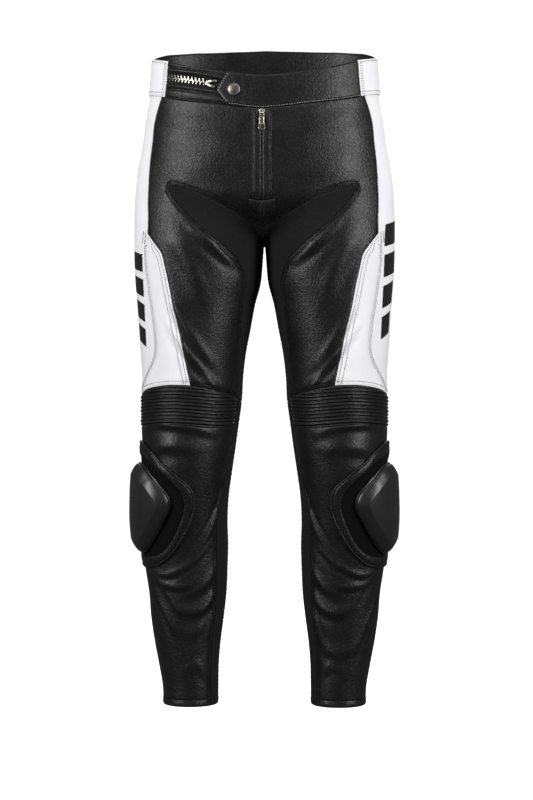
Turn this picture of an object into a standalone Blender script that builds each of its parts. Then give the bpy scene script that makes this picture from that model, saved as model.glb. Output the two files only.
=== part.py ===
"""Leather riding pants, as worn, with white side panels, ribbed knees and hard knee sliders.

Sizes are in millimetres, and the meshes are scaled to metres when they are made. +Z is up and the
front faces -Y. The origin lies in the waist, where the wearer holds the pants up. One half of the
garment is worked out for +X, and the other is its mirror image.

The body is one surface, point = body_point(u, v). u runs round a half from 0 at the centre front and
the inseam, by 0.5 at the outer side, to 1 at the centre back and the inseam again. v is the height.
The pattern pieces are cut from that surface along the seams.
"""

import math

import bmesh
import bpy
import numpy as np
from mathutils import Matrix, Vector, geometry

MM = 0.001
SEAM_GAP = 0.3
LEATHER = 2.0
BAND_LEATHER = 2.6

# The torso, from the waistband down to the crotch
TORSO_COLUMNS = ("z", "half_width", "front", "back")
TORSO = (
    (75, 171, 101, 92),
    (30, 172, 103, 95),
    (0, 174, 105, 98),
    (-30, 177, 108, 104),
    (-72, 184, 111, 115),
    (-110, 189, 113, 125),
    (-147, 196, 114, 132),
    (-184, 200, 113, 136),
    (-222, 201.5, 110, 134),
    (-265, 201.5, 104, 122),
)

# The right leg, from the crotch down to the hem
LEG_COLUMNS = ("z", "outer", "inner", "front", "back")
LEG = (
    (-265, 201.5, 1.2, 104, 120),
    (-290, 201, 3, 102, 114),
    (-320, 199.5, 6, 100, 108),
    (-352, 197, 14.5, 98, 101),
    (-390, 194.5, 21.5, 96, 95),
    (-426, 192, 28.5, 94, 89),
    (-464, 189.5, 33, 92, 84),
    (-501, 190.5, 35, 91, 79),
    (-538, 190.5, 40, 90, 76),
    (-575, 189, 45, 89, 75),
    (-612, 188, 50.5, 85, 78),
    (-649, 187.5, 55.5, 79, 84),
    (-687, 188, 57.5, 72, 90),
    (-724, 187.5, 56.5, 66, 93),
    (-761, 184.5, 57.5, 62, 91),
    (-798, 179, 59, 58, 86),
    (-835, 176, 63, 55, 80),
    (-873, 170.5, 68, 52, 73),
    (-910, 163.5, 71, 50, 67),
    (-947, 157.5, 71.5, 49, 63),
    (-970, 157, 72, 49, 62),
)

TORSO_SQUARENESS = 0.86
LEG_SQUARENESS = 0.95
RISE_TOP = -185.0
CROTCH = -265.0
HEM = -970.0
RISE_REACH = 0.18
UPRIGHT_SHARE = 0.6
RISE_CLEAR = 0.8


def along(table, columns, name, z):
    """A table's column at the heights z, by a smooth curve through its rows."""
    heights = np.array([row[0] for row in table], float)[::-1]
    values = np.array([row[columns.index(name)] for row in table], float)[::-1]
    slopes = np.gradient(values, heights)
    z = np.clip(np.asarray(z, float), heights[0], heights[-1])
    i = np.clip(np.searchsorted(heights, z) - 1, 0, len(heights) - 2)
    step = heights[i + 1] - heights[i]
    t = (z - heights[i]) / step
    return (
        (2 * t**3 - 3 * t**2 + 1) * values[i]
        + (t**3 - 2 * t**2 + t) * step * slopes[i]
        + (3 * t**2 - 2 * t**3) * values[i + 1]
        + (t**3 - t**2) * step * slopes[i + 1]
    )


def rounded(value, power):
    """value raised to power with its sign kept, which squares off a round section."""
    return np.sign(value) * np.abs(value) ** power


def torso_angle(u):
    """The angle round the torso, from 0 at the front to pi at the back, at which the leg's u lies."""
    near = np.minimum(u, 1 - u)
    upright = np.arcsin(np.clip(np.sin(np.pi * near) ** 2, 0, 1))
    angle = (1 - UPRIGHT_SHARE) * np.pi * near + UPRIGHT_SHARE * upright
    return np.where(u <= 0.5, angle, np.pi - angle)


def torso_point(u, z):
    angle = torso_angle(u)
    forward = rounded(np.cos(angle), TORSO_SQUARENESS)
    sideways = rounded(np.maximum(np.sin(angle), 0), TORSO_SQUARENESS)
    x = along(TORSO, TORSO_COLUMNS, "half_width", z) * sideways
    front = along(TORSO, TORSO_COLUMNS, "front", z)
    back = along(TORSO, TORSO_COLUMNS, "back", z)
    return x, -forward * np.where(forward > 0, front, back)


def leg_point(u, z):
    inward = rounded(np.cos(2 * np.pi * u), LEG_SQUARENESS)
    forward = rounded(np.sin(2 * np.pi * u), LEG_SQUARENESS)
    outer = along(LEG, LEG_COLUMNS, "outer", z)
    inner = along(LEG, LEG_COLUMNS, "inner", z)
    front = along(LEG, LEG_COLUMNS, "front", z)
    back = along(LEG, LEG_COLUMNS, "back", z)
    x = (outer + inner) / 2 - inward * (outer - inner) / 2
    return x, -forward * np.where(forward > 0, front, back)


def body_point(u, v):
    """Points of the body's outer surface, as an array of x, y and z."""
    u, v = np.broadcast_arrays(np.asarray(u, float), np.asarray(v, float))
    fall = np.clip((RISE_TOP - v) / (RISE_TOP - CROTCH), 0, 1)
    turn = np.clip(1 - np.minimum(u, 1 - u) / RISE_REACH, 0, 1) ** 2
    drop = (1 - turn) * fall + turn * np.sin(fall * np.pi / 2)
    to_leg = (1 - turn) * fall**2 * (3 - 2 * fall) + turn * (1 - np.cos(fall * np.pi / 2))
    between = (v < RISE_TOP) & (v > CROTCH)
    z = np.where(between, RISE_TOP - (RISE_TOP - CROTCH) * drop, v)
    torso_x, torso_y = torso_point(u, z)
    leg_x, leg_y = leg_point(u, z)
    x = torso_x * (1 - to_leg) + leg_x * to_leg
    x = np.hypot(x, RISE_CLEAR * np.clip(5 * fall, 0, 1))
    y = torso_y * (1 - to_leg) + leg_y * to_leg
    return np.stack([x, y, z], axis=-1)


def unit(vectors):
    return vectors / np.maximum(np.linalg.norm(vectors, axis=-1, keepdims=True), 1e-9)


def outward(u, v):
    """The body's outward direction at (u, v)."""
    u, v = np.broadcast_arrays(np.asarray(u, float), np.asarray(v, float))
    small_u, small_v = 0.004, 2.0
    round_leg = body_point(np.minimum(u + small_u, 1), v) - body_point(np.maximum(u - small_u, 0), v)
    up_leg = body_point(u, v + small_v) - body_point(u, v - small_v)
    return unit(np.cross(round_leg, up_leg))


# Heights round the garment, from the centre front (0) to the centre back (1)
LINE_COLUMNS = ("round", "height")
WAIST_TOP = (
    (0, -13.5),
    (0.06, -12.5),
    (0.126, -9),
    (0.19, -4.5),
    (0.26, 3),
    (0.335, 13.5),
    (0.42, 21),
    (0.5, 28),
    (0.56, 36),
    (0.63, 44),
    (0.74, 51),
    (0.87, 55),
    (1, 57),
)
WAIST_SEAM = (
    (0, -64),
    (0.06, -62.5),
    (0.121, -58.5),
    (0.19, -54),
    (0.26, -48.5),
    (0.335, -41),
    (0.354, -38.5),
    (0.43, -33),
    (0.5, -29),
    (0.585, -20),
    (0.66, -12),
    (0.75, -6),
    (0.87, -1),
    (1, 0),
)
KNEE_SEAM = (
    (0, -503),
    (0.056, -499),
    (0.109, -492),
    (0.17, -486),
    (0.21, -482),
    (0.245, -478.5),
    (0.31, -478),
    (0.372, -481),
    (0.421, -485),
    (0.458, -490),
    (0.5, -494),
    (0.585, -497),
    (0.7, -500),
    (0.85, -503),
    (1, -503),
)
RIBS_END = (
    (0.05, -539),
    (0.16, -540),
    (0.212, -538),
    (0.281, -535),
    (0.337, -535.5),
    (0.42, -538),
    (0.505, -542),
    (0.585, -543),
)

# Seams that run down the garment, from one joint to the next
WING_TOP = (
    (0, -224),
    (0.03, -224.5),
    (0.063, -224.5),
    (0.111, -216.5),
    (0.145, -204),
    (0.178, -193),
    (0.225, -183.5),
    (0.265, -177),
    (0.279, -178),
)
WING_LOW = (
    (0.279, -178),
    (0.283, -184),
    (0.264, -199),
    (0.248, -217),
    (0.234, -234),
    (0.212, -253),
    (0.185, -268),
    (0.166, -277),
    (0.146, -286),
    (0.131, -297),
    (0.115, -311),
    (0.103, -326),
    (0.100, -345),
    (0.088, -391),
    (0.067, -440),
    (0.06, -475),
    (0.056, -499),
)
STRIPE_FRONT = (
    (0.354, -38.5),
    (0.368, -60),
    (0.377, -85),
    (0.372, -115),
    (0.364, -150),
    (0.359, -188),
    (0.366, -220),
    (0.378, -248),
)
WEDGE_FRONT = (
    (0.378, -248),
    (0.354, -264),
    (0.33, -280),
    (0.323, -300),
    (0.299, -358),
    (0.2715, -414),
    (0.245, -478.5),
)
WEDGE_REAR = (
    (0.378, -248),
    (0.384, -275),
    (0.381, -300),
    (0.375, -320),
    (0.364, -356),
    (0.354, -388),
    (0.348, -416),
    (0.353, -433),
    (0.375, -450),
    (0.405, -464),
    (0.435, -477),
    (0.458, -490),
)
CALF_FRONT_UPPER = ((0.056, -499), (0.05, -520), (0.05, -539))
CALF_FRONT = (
    (0.05, -539),
    (0.047, -558),
    (0.063, -596),
    (0.094, -652),
    (0.108, -699),
    (0.113, -746),
    (0.11, -797),
    (0.111, -837),
    (0.108, -884),
    (0.11, -926),
    (0.112, HEM),
)
SIDE_ROUND = 0.585
BAND_SIDE_FRONT = 0.335
BAND_SIDE_BACK = 0.5

COLLECTION = "riding_pants"
TEXTILE = 1.5
MATERIALS = {}

# How closely the cloth's points lie
ROUND_MM = 620
STEP_ROUND = 24
STEP_UP = 34
SEAM_STEP = 25

# The largest folds: a soft trough or ridge from one end to the other
FOLD_COLUMNS = ("side", "round_1", "height_1", "round_2", "height_2", "width", "rise")
FOLDS = (
    (-1, 0.30, -372, 0.17, -462, 17, 3.0),
    (-1, 0.24, -380, 0.13, -452, 15, -2.6),
    (1, 0.29, -392, 0.15, -466, 17, 3.0),
    (1, 0.25, -350, 0.13, -440, 15, -2.4),
    (-1, 0.22, -262, 0.14, -322, 16, 2.4),
    (1, 0.23, -270, 0.15, -330, 16, 2.2),
    (0, 0.14, -590, 0.05, -566, 15, 2.4),
    (0, 0.30, -562, 0.12, -580, 14, 2.2),
    (0, 0.33, -790, 0.13, -742, 13, 3.0),
    (0, 0.30, -815, 0.14, -786, 13, -2.4),
    (-1, 0.36, -838, 0.21, -900, 12, 2.6),
    (1, 0.34, -812, 0.18, -895, 12, 2.6),
    (0, 0.62, -520, 0.97, -512, 18, -4.0),
    (0, 0.64, -556, 0.95, -548, 18, 3.4),
    (0, 0.66, -590, 0.92, -580, 16, -3.0),
    (0, 0.66, -300, 0.96, -290, 20, -3.5),
    (0, 0.70, -334, 0.94, -330, 18, 2.6),
    (0, 0.68, -470, 0.92, -462, 16, 2.8),
    (0, 0.70, -860, 0.93, -846, 16, 2.6),
    (0, 0.68, -890, 0.90, -884, 15, -2.4),
)

RIBS = 11
RIB_HEIGHT = 2.2
RIB_CREST = (0.28, 0.72)

# The knee slider, as turns from its centre: the share of the way round and the height of each point
SLIDER_ROUND = 0.43
SLIDER_HEIGHT = -662.0
RIM_COLUMNS = ("round", "height")
FRAME_RIM = (
    (0.40, -571),
    (0.33, -596),
    (0.27, -616),
    (0.215, -636),
    (0.202, -652),
    (0.21, -676),
    (0.242, -704),
    (0.29, -736),
    (0.33, -750),
    (0.38, -755),
    (0.46, -755),
    (0.54, -745),
    (0.60, -712),
    (0.62, -665),
    (0.60, -612),
    (0.545, -578),
    (0.47, -562),
)
PATCH_RIM = (
    (0.41, -586),
    (0.337, -606),
    (0.278, -626),
    (0.242, -644),
    (0.236, -658),
    (0.243, -678),
    (0.265, -703),
    (0.305, -729),
    (0.34, -738),
    (0.385, -741),
    (0.455, -740),
    (0.52, -731),
    (0.57, -705),
    (0.588, -664),
    (0.57, -620),
    (0.53, -592),
    (0.47, -580),
)
PUCK_RIM = (
    (0.425, -598),
    (0.365, -614),
    (0.325, -630),
    (0.292, -646),
    (0.283, -655),
    (0.293, -668),
    (0.318, -688),
    (0.345, -708),
    (0.37, -722),
    (0.405, -733),
    (0.46, -733),
    (0.505, -722),
    (0.535, -700),
    (0.55, -664),
    (0.54, -630),
    (0.51, -606),
    (0.465, -596),
)
RIM_POINTS = 30
RING_COLUMNS = ("size", "rise")
PUCK_RINGS = (
    (0.3, 22.5),
    (0.62, 21.5),
    (0.8, 18.5),
    (0.92, 13.0),
    (1.0, 6.5),
    (0.97, 3.4),
    (0.8, 3.8),
    (0.6, 4.0),
    (0.4, 4.0),
    (0.2, 4.0),
)
FRAME_LIFT = 1.2
FRAME_HEIGHT = 6.0
PATCH_LIFT = 0.9
PATCH_THICK = 1.6

# The waist zip in the wearer's right half of the band, and the pointed tab over its end
TAB_POINT = (-0.157, -36.5)
TAB_CORNERS = ((-0.126, -9), (-0.121, -58.5))
TAB_RAMP = (-0.086, -0.055)
TAB_RISE = 3.5
ZIP_END = -0.116
ZIP_UPPER = ((-0.335, -3.5), (-0.225, -12.5), (-0.116, -24.5))
ZIP_LOWER = ((-0.335, -20.5), (-0.225, -29.5), (-0.116, -41.5))
ZIP_TAPE_THICK = 1.0
ZIP_TAPE_REACH = 4.5
ZIP_TAPE_DROP = 0.5
CHAIN_WIDE = 7.0
CHAIN_THICK = 2.0
CHAIN_ENDS = (-0.331, -0.19)
WAIST_SLIDER = ((0.0, 9.0), (8.0, 11.5), (13.5, 12.0), (15.5, 7.0))
WAIST_SLIDER_START = -0.1885
WAIST_SLIDER_THICK = 2.4

BAND_RISE = 1.0
SIDE_BAND_RISE = 1.8
SNAP_ROUND = -0.101
SNAP_HEIGHT = -37.0
SNAP_PROFILE = ((9.3, 0.0), (9.5, 1.2), (8.6, 2.9), (5.4, 4.1), (0.0, 4.5))

# The fly, in millimetres from the centre front
FLY_SLIT = 0.8
FLY_EDGE = 15.5
FLY_TOP = -67.5
FLY_BOTTOM = -195.5
FLY_OPENING = (5.4, -79.0, -106.0)
FLY_LIFT = 0.8
FLY_THICK = 1.3
FLY_CORNER = 6.0
FLY_END_EDGE = 19.5
FLY_END_HEIGHTS = (-197.5, -211.5)
FLY_END_CORNER = 9.0

# The fly's zip slider and its pull tab, which turns on the slider's pin
SLIDER_TOP = -66.0
SLIDER_SIZE = (8.8, 11.5, 2.4)
SLIDER_LIFT = 0.7
CHEEK_SIZE = (1.3, 4.4, 3.6)
CHEEK_APART = 4.4
PIN_HEIGHT = 2.0
PIN_DROP = 7.0
PIN_RADIUS = 0.7
EYE_RADII = (1.9, 1.05)
EYE_WIDE = 3.6
PULL_WIDE = (7.4, 9.8)
PULL_START = 1.2
PULL_NECK = 2.5
PULL_SHOULDER = 4.7
PULL_LONG = 23.5
PULL_THICK = 1.4
PULL_HOLE = (1.9, 19.5)
ROUND_SIDES = 16


def smooth_line(rows, at):
    """The height of a line at the shares of the way round in at, straight between close rows."""
    rounds, heights = np.array(rows, float).T
    return np.interp(at, rounds, heights)


def seam(rows, step=SEAM_STEP):
    """A seam's points: each row of its table, with more between rows that lie far apart."""
    rows = np.array(rows, float)
    points = [rows[0]]
    for start, end in zip(rows[:-1], rows[1:]):
        length = math.hypot((end[0] - start[0]) * ROUND_MM, end[1] - start[1])
        count = max(1, round(length / step))
        points += [start + (end - start) * k / count for k in range(1, count + 1)]
    return np.array(points)


def stretch(points, start, end):
    """The part of a line's points that lies from one share of the way round to another."""
    inside = (points[:, 0] > start - 1e-6) & (points[:, 0] < end + 1e-6)
    return points[inside]


def upright(at, top, bottom, step=STEP_UP):
    count = max(1, round((top - bottom) / step))
    heights = np.linspace(top, bottom, count + 1)
    return np.column_stack([np.full(count + 1, float(at)), heights])


def loop(*lines):
    """One outline from lines that follow on from each other, each joint kept once."""
    return np.concatenate([line[:-1] for line in lines])


def folds(u, v, side):
    """How far the folds raise the cloth."""
    rise = np.zeros(np.shape(u))
    for row in FOLDS:
        fold = dict(zip(FOLD_COLUMNS, row))
        start = np.array([fold["round_1"] * ROUND_MM, fold["height_1"]])
        reach = np.array([fold["round_2"] * ROUND_MM, fold["height_2"]]) - start
        away = np.stack([u * ROUND_MM, v], axis=-1) - start
        share = np.clip(away @ reach / (reach @ reach), 0, 1)
        distance = np.linalg.norm(away - share[..., None] * reach, axis=-1)
        swell = np.sin(np.pi * (0.12 + 0.76 * share))
        here = (side == fold["side"]) | (fold["side"] == 0)
        rise = rise + here * fold["rise"] * swell * np.exp(-((distance / fold["width"]) ** 2))
    edge = np.clip(np.minimum(u, 1 - u) / 0.05, 0, 1)
    return rise * np.where(v < RISE_TOP, edge, 1)


def surface(u, v, side=1):
    """Points and outward directions on one side; u may run on past the centre to the other side."""
    u, v = np.broadcast_arrays(np.asarray(u, float), np.asarray(v, float))
    here = np.where(u < 0, -u, np.where(u > 1, 2 - u, u))
    across = np.where((u < 0) | (u > 1), -side, side)
    normal = outward(here, v)
    point = body_point(here, v) + normal * folds(here, v, across)[..., None]
    flip = np.stack([across, np.ones_like(across), np.ones_like(across)], axis=-1)
    return point * flip, normal * flip


def inside_loop(points, outline):
    """Which points lie inside a closed outline, by how often a level line crosses it."""
    found = np.zeros(len(points), bool)
    for start, end in zip(outline, np.roll(outline, -1, axis=0)):
        spans = (start[1] > points[:, 1]) != (end[1] > points[:, 1])
        run = (end[0] - start[0]) * (points[:, 1] - start[1]) / ((end[1] - start[1]) or 1e-9)
        found ^= spans & (points[:, 0] < start[0] + run)
    return found


def off_outline(points, outline):
    """How far points lie from an outline."""
    start, end = outline, np.roll(outline, -1, axis=0)
    reach = end - start
    away = points[:, None] - start[None]
    share = np.clip((away * reach).sum(-1) / (reach**2).sum(-1), 0, 1)
    return np.linalg.norm(away - share[..., None] * reach, axis=-1).min(axis=1)


def filling(outline, step_round=STEP_ROUND, step_up=STEP_UP, clear=0.5):
    """Staggered points inside a flat outline, clear of its edge. Flat units are millimetres."""
    low, high = outline.min(axis=0), outline.max(axis=0)
    rows = np.arange(low[1] + step_up / 2, high[1], step_up)
    points = []
    for k, height in enumerate(rows):
        start = low[0] + step_round * (0.5 if k % 2 else 1.0)
        across = np.arange(start, high[0], step_round)
        points += [(x, height) for x in across]
    if not points:
        return np.zeros((0, 2))
    points = np.array(points)
    points = points[inside_loop(points, outline)]
    return points[off_outline(points, outline) > clear * step_round]


def triangles(outline, extra):
    """Triangles over a flat outline, through its own points and the extra ones."""
    points = np.concatenate([outline, extra]) if len(extra) else outline
    count = len(outline)
    edges = [(i, (i + 1) % count) for i in range(count)]
    result = geometry.delaunay_2d_cdt(
        [Vector(p) for p in points], edges, [list(range(count))], 1, 1e-6
    )
    names = [origin[0] for origin in result[3]]
    return [[names[i] for i in face] for face in result[2]]


def seam_inset(points, normals, side):
    """Moves along the cloth, inwards from each edge, that leave half the seam gap at an outline."""
    along_edge = unit(np.roll(points, -1, axis=0) - points)
    before = side * unit(np.cross(normals, np.roll(along_edge, 1, axis=0)))
    after = side * unit(np.cross(normals, along_edge))
    spread = np.maximum(1 + (before * after).sum(-1, keepdims=True), 0.35)
    return (before + after) / spread * SEAM_GAP / 2




def material(name, colour, metallic, roughness):
    surface_material = bpy.data.materials.new(name)
    surface_material.use_nodes = True
    shader = surface_material.node_tree.nodes["Principled BSDF"]
    shader.inputs["Base Color"].default_value = (*colour, 1)
    shader.inputs["Metallic"].default_value = metallic
    shader.inputs["Roughness"].default_value = roughness
    surface_material.diffuse_color = (*colour, 1)
    MATERIALS[name] = surface_material


def add_object(name, points, faces, material_name):
    """A named object from points in millimetres."""
    mesh = bpy.data.meshes.new(name)
    mesh.from_pydata([tuple(p) for p in np.asarray(points) * MM], [], faces)
    body = bmesh.new()
    body.from_mesh(mesh)
    bmesh.ops.recalc_face_normals(body, faces=body.faces)
    body.to_mesh(mesh)
    body.free()
    mesh.materials.append(MATERIALS[material_name])
    made = bpy.data.objects.new(name, mesh)
    bpy.data.collections[COLLECTION].objects.link(made)
    return made


def flat(points):
    """Shares and heights as millimetres on the flat cloth."""
    return points * np.array([ROUND_MM, 1.0])


def round_and_height(points):
    return points / np.array([ROUND_MM, 1.0])


def cloth(name, outline, colour, side=1, rise=0.0, thick=LEATHER, extra=None, chart=None):
    """A closed wall over an outline. rise is a number or a function of the flat points."""
    chart = chart or round_and_height
    if extra is None:
        extra = filling(outline)
    every = np.concatenate([outline, extra]) if len(extra) else outline
    place = chart(every)
    points, normals = surface(place[:, 0], place[:, 1], side)
    count = len(outline)
    inset = np.zeros_like(points)
    inset[:count] = seam_inset(points[:count], normals[:count], side)
    raised = rise(every) if callable(rise) else np.full(len(every), float(rise))
    low = rise(every, True) if callable(rise) else raised
    top = points + inset + normals * raised[:, None]
    under = points + inset + normals * (low - thick)[:, None]
    faces = [face[::side] for face in triangles(outline, extra)]
    total = len(every)
    faces += [[i + total for i in reversed(face)] for face in faces]
    for i in range(count):
        j = (i + 1) % count
        faces.append([i, i + total, j + total, j][::side])
    return add_object(name, np.concatenate([top, under]), faces, colour)


def ringed(name, rings, colour, closed=False):
    """A solid through rings of points, capped at both ends or closed on itself."""
    count = len(rings[0])
    points = np.concatenate(rings)
    faces = []
    pairs = list(zip(range(len(rings) - 1), range(1, len(rings))))
    if closed:
        pairs.append((len(rings) - 1, 0))
    for a, b in pairs:
        for i in range(count):
            j = (i + 1) % count
            faces.append([a * count + i, a * count + j, b * count + j, b * count + i])
    if not closed:
        for first in (0, (len(rings) - 1) * count):
            middle = points[first : first + count].mean(axis=0)
            points = np.concatenate([points, middle[None]])
            hub = len(points) - 1
            faces += [[first + i, first + (i + 1) % count, hub] for i in range(count)]
    return add_object(name, points, faces, colour)


def lines_round():
    """Every shared seam, as points that the pieces on both its sides use."""
    ribs_at = np.unique(np.concatenate([seam(KNEE_SEAM, 22)[:, 0], [0.05]]))
    knee = np.column_stack([ribs_at, smooth_line(KNEE_SEAM, ribs_at)])
    knee = knee[knee[:, 0] != 0.05]
    return {
        "top": seam(WAIST_TOP),
        "waist": seam(WAIST_SEAM),
        "knee": knee,
        "ribs_end": seam(RIBS_END, 22),
        "hem": seam(((0, HEM), (0.112, HEM), (SIDE_ROUND, HEM), (1, HEM)), 20),
        "wing_top": seam(WING_TOP),
        "wing_low": seam(WING_LOW),
        "stripe_front": seam(STRIPE_FRONT),
        "wedge_front": seam(WEDGE_FRONT),
        "wedge_rear": seam(WEDGE_REAR),
        "calf_upper": seam(CALF_FRONT_UPPER),
        "calf": seam(CALF_FRONT),
        "front": upright(0, -64, -224, 15),
        "rise": loop(upright(0, -224, CROTCH, 14), upright(0, CROTCH, -503, 24)),
        "seat": loop(upright(1, 0, -224), upright(1, -224, CROTCH, 14), upright(1, CROTCH, -503, 24)),
        "inseam": upright(0, -503, HEM),
        "inseam_back": upright(1, -503, HEM),
        "side": upright(SIDE_ROUND, -20, -497),
        "side_knee": upright(SIDE_ROUND, -497, -543, 23),
        "side_calf": upright(SIDE_ROUND, -543, HEM),
    }


def closed_line(line, last):
    """A line with its end point put back."""
    return np.concatenate([line, [last]])


def body_pieces(side, hand):
    """The panels of one half, from the waist seam to the hem."""
    line = lines_round()
    line["rise"] = closed_line(line["rise"], (0, -503))
    line["seat"] = closed_line(line["seat"], (1, -503))
    knee, waist, hem = line["knee"], line["waist"], line["hem"]
    knee_inner = stretch(knee, 0, 0.056)
    knee_front = stretch(knee, 0.056, 0.245)
    knee_wedge = stretch(knee, 0.245, 0.458)
    knee_stripe = stretch(knee, 0.458, SIDE_ROUND)
    knee_back = stretch(knee, SIDE_ROUND, 1)
    pieces = (
        (
            "front_panel",
            "black_leather",
            LEATHER,
            loop(
                line["front"],
                line["wing_top"],
                line["wing_low"],
                knee_front,
                line["wedge_front"][::-1],
                line["stripe_front"][::-1],
                stretch(waist, 0, 0.354)[::-1],
            ),
        ),
        (
            "crotch_panel",
            "stretch_textile",
            TEXTILE,
            loop(line["rise"], knee_inner, line["wing_low"][::-1], line["wing_top"][::-1]),
        ),
        (
            "thigh_wedge",
            "white_leather",
            LEATHER,
            loop(line["wedge_front"], knee_wedge, line["wedge_rear"][::-1]),
        ),
        (
            "side_stripe",
            "white_leather",
            LEATHER,
            loop(
                line["stripe_front"],
                line["wedge_rear"],
                knee_stripe,
                line["side"][::-1],
                stretch(waist, 0.354, SIDE_ROUND)[::-1],
            ),
        ),
        (
            "back_panel",
            "black_leather",
            LEATHER,
            loop(
                line["side"],
                knee_back,
                line["seat"][::-1],
                stretch(waist, SIDE_ROUND, 1)[::-1],
            ),
        ),
        (
            "inner_calf_panel",
            "stretch_textile",
            TEXTILE,
            loop(
                line["inseam"],
                stretch(hem, 0, 0.112),
                line["calf"][::-1],
                line["calf_upper"][::-1],
                knee_inner[::-1],
            ),
        ),
        (
            "shin_panel",
            "black_leather",
            LEATHER,
            loop(
                line["calf"],
                stretch(hem, 0.112, SIDE_ROUND),
                line["side_calf"][::-1],
                line["ribs_end"][::-1],
            ),
        ),
        (
            "calf_panel",
            "black_leather",
            LEATHER,
            loop(
                line["side_knee"],
                line["side_calf"],
                stretch(hem, SIDE_ROUND, 1),
                line["inseam_back"][::-1],
                knee_back[::-1],
            ),
        ),
    )
    for name, colour, thick, outline in pieces:
        cloth(f"{name}_{hand}", flat(outline), colour, side, 0.0, thick)


def knee_expander(side, hand):
    """The ribbed leather above the kneecap: ribs across it, over a plain inside."""
    line = lines_round()
    top = stretch(line["knee"], 0.056, SIDE_ROUND)
    bottom = line["ribs_end"]
    depth = 57.0

    def chart(points):
        """Flat points whose height runs from 0 at the top seam to minus depth at the bottom one."""
        share = -points[:, 1] / depth
        start = 0.056 + (0.05 - 0.056) * share
        across = start + (points[:, 0] / ROUND_MM) * (SIDE_ROUND - start) / SIDE_ROUND
        high = smooth_line(KNEE_SEAM, across)
        low = smooth_line(RIBS_END, across)
        return np.column_stack([across, high + (low - high) * share])

    def back(round_share, share):
        start = 0.056 + (0.05 - 0.056) * share
        return (round_share - start) * SIDE_ROUND / (SIDE_ROUND - start) * ROUND_MM

    rows = [0.0]
    for rib in range(RIBS):
        rows += [(rib + part) / RIBS for part in (*RIB_CREST, 1.0)]
    rows = np.array(rows)
    upper = np.column_stack([back(top[:, 0], 0.0), np.zeros(len(top))])
    lower = np.column_stack([back(bottom[:, 0], 1.0), np.full(len(bottom), -depth)])
    far = np.full(len(rows), SIDE_ROUND * ROUND_MM)
    left = np.column_stack([np.zeros(len(rows)), -rows * depth])
    right = np.column_stack([far, -rows * depth])
    outline = loop(left, lower, right[::-1], upper[::-1])
    columns = upper[1:-1, 0]
    inner_rows = np.array([(x, -share * depth) for x in columns for share in (0.25, 0.5, 0.75)])
    extra = np.array([(x, -share * depth) for share in rows[1:-1] for x in columns])

    def crest(points):
        part = (-points[:, 1] / depth * RIBS) % 1
        raised = (part > 0.1) & (part < 0.9)
        ends = np.minimum(points[:, 0], SIDE_ROUND * ROUND_MM - points[:, 0])
        return raised * RIB_HEIGHT * np.clip(ends / 9 + 0.25, 0, 1)

    def layer(extra_points, rise_of):
        every = np.concatenate([outline, extra_points])
        place = chart(every)
        points, normals = surface(place[:, 0], place[:, 1], side)
        points[: len(outline)] += seam_inset(
            points[: len(outline)], normals[: len(outline)], side
        )
        faces = [face[::side] for face in triangles(outline, extra_points)]
        return points + normals * rise_of(every)[:, None], faces

    outer, faces = layer(extra, crest)
    inner, under = layer(inner_rows, lambda points: np.full(len(points), -LEATHER))
    total, count = len(outer), len(outline)
    faces += [[i + total for i in reversed(face)] for face in under]
    for i in range(count):
        j = (i + 1) % count
        faces.append([i, i + total, j + total, j][::side])
    add_object(f"knee_expander_{hand}", np.concatenate([outer, inner]), faces, "black_leather")


def even_rim(rows, size=1.0):
    """A closed rim as evenly spaced points about the slider's centre."""
    centre = np.array([SLIDER_ROUND * ROUND_MM, SLIDER_HEIGHT])
    rows = flat(np.array(rows, float)) - centre
    angles = np.unwrap(np.arctan2(rows[:, 1], rows[:, 0]))
    reach = np.linalg.norm(rows, axis=1)
    order = np.argsort(angles)
    at = angles.min() + 2 * np.pi * np.arange(RIM_POINTS) / RIM_POINTS
    far = np.interp(at, angles[order], reach[order], period=2 * np.pi)
    return centre + size * np.column_stack([np.cos(at), np.sin(at)]) * far[:, None]


def raised_ring(points, rise, side):
    place = round_and_height(points)
    spots, normals = surface(place[:, 0], place[:, 1], side)
    return spots + normals * rise


def slider_pieces(side, hand):
    """The padded frame round the knee slider, the hook-and-loop patch in it and the hard slider."""
    outer, inner = even_rim(FRAME_RIM), even_rim(PATCH_RIM, 1.015)
    steps = ((0.0, 0.2), (0.12, 0.7), (0.5, 1.0), (0.88, 0.75), (1.0, 0.25))
    rings = [
        raised_ring(outer + (inner - outer) * share, FRAME_LIFT + FRAME_HEIGHT * high, side)
        for share, high in steps
    ]
    rings.append(raised_ring(inner, FRAME_LIFT, side))
    rings.append(raised_ring((outer + inner) / 2, FRAME_LIFT, side))
    rings.append(raised_ring(outer, FRAME_LIFT, side))
    ringed(f"knee_frame_{hand}", rings, "black_leather", closed=True)
    rim = even_rim(PATCH_RIM)
    extra = filling(rim, 20, 24)
    cloth(
        f"knee_patch_{hand}",
        rim,
        "hook_and_loop",
        side,
        PATCH_LIFT + PATCH_THICK,
        PATCH_THICK,
        extra,
    )
    rings = [raised_ring(even_rim(PUCK_RIM, size), rise, side) for size, rise in PUCK_RINGS]
    ringed(f"knee_slider_{hand}", rings, "hard_plastic")


def mirrored(points):
    """Points across the centre front."""
    return points[::-1] * np.array([-1.0, 1.0])


def band_rise(points, under=False):
    """The front band rises over the end of the zip."""
    share = (TAB_RAMP[1] * ROUND_MM - points[:, 0]) / ((TAB_RAMP[1] - TAB_RAMP[0]) * ROUND_MM)
    return BAND_RISE + TAB_RISE * np.clip(share, 0, 1)


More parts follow.
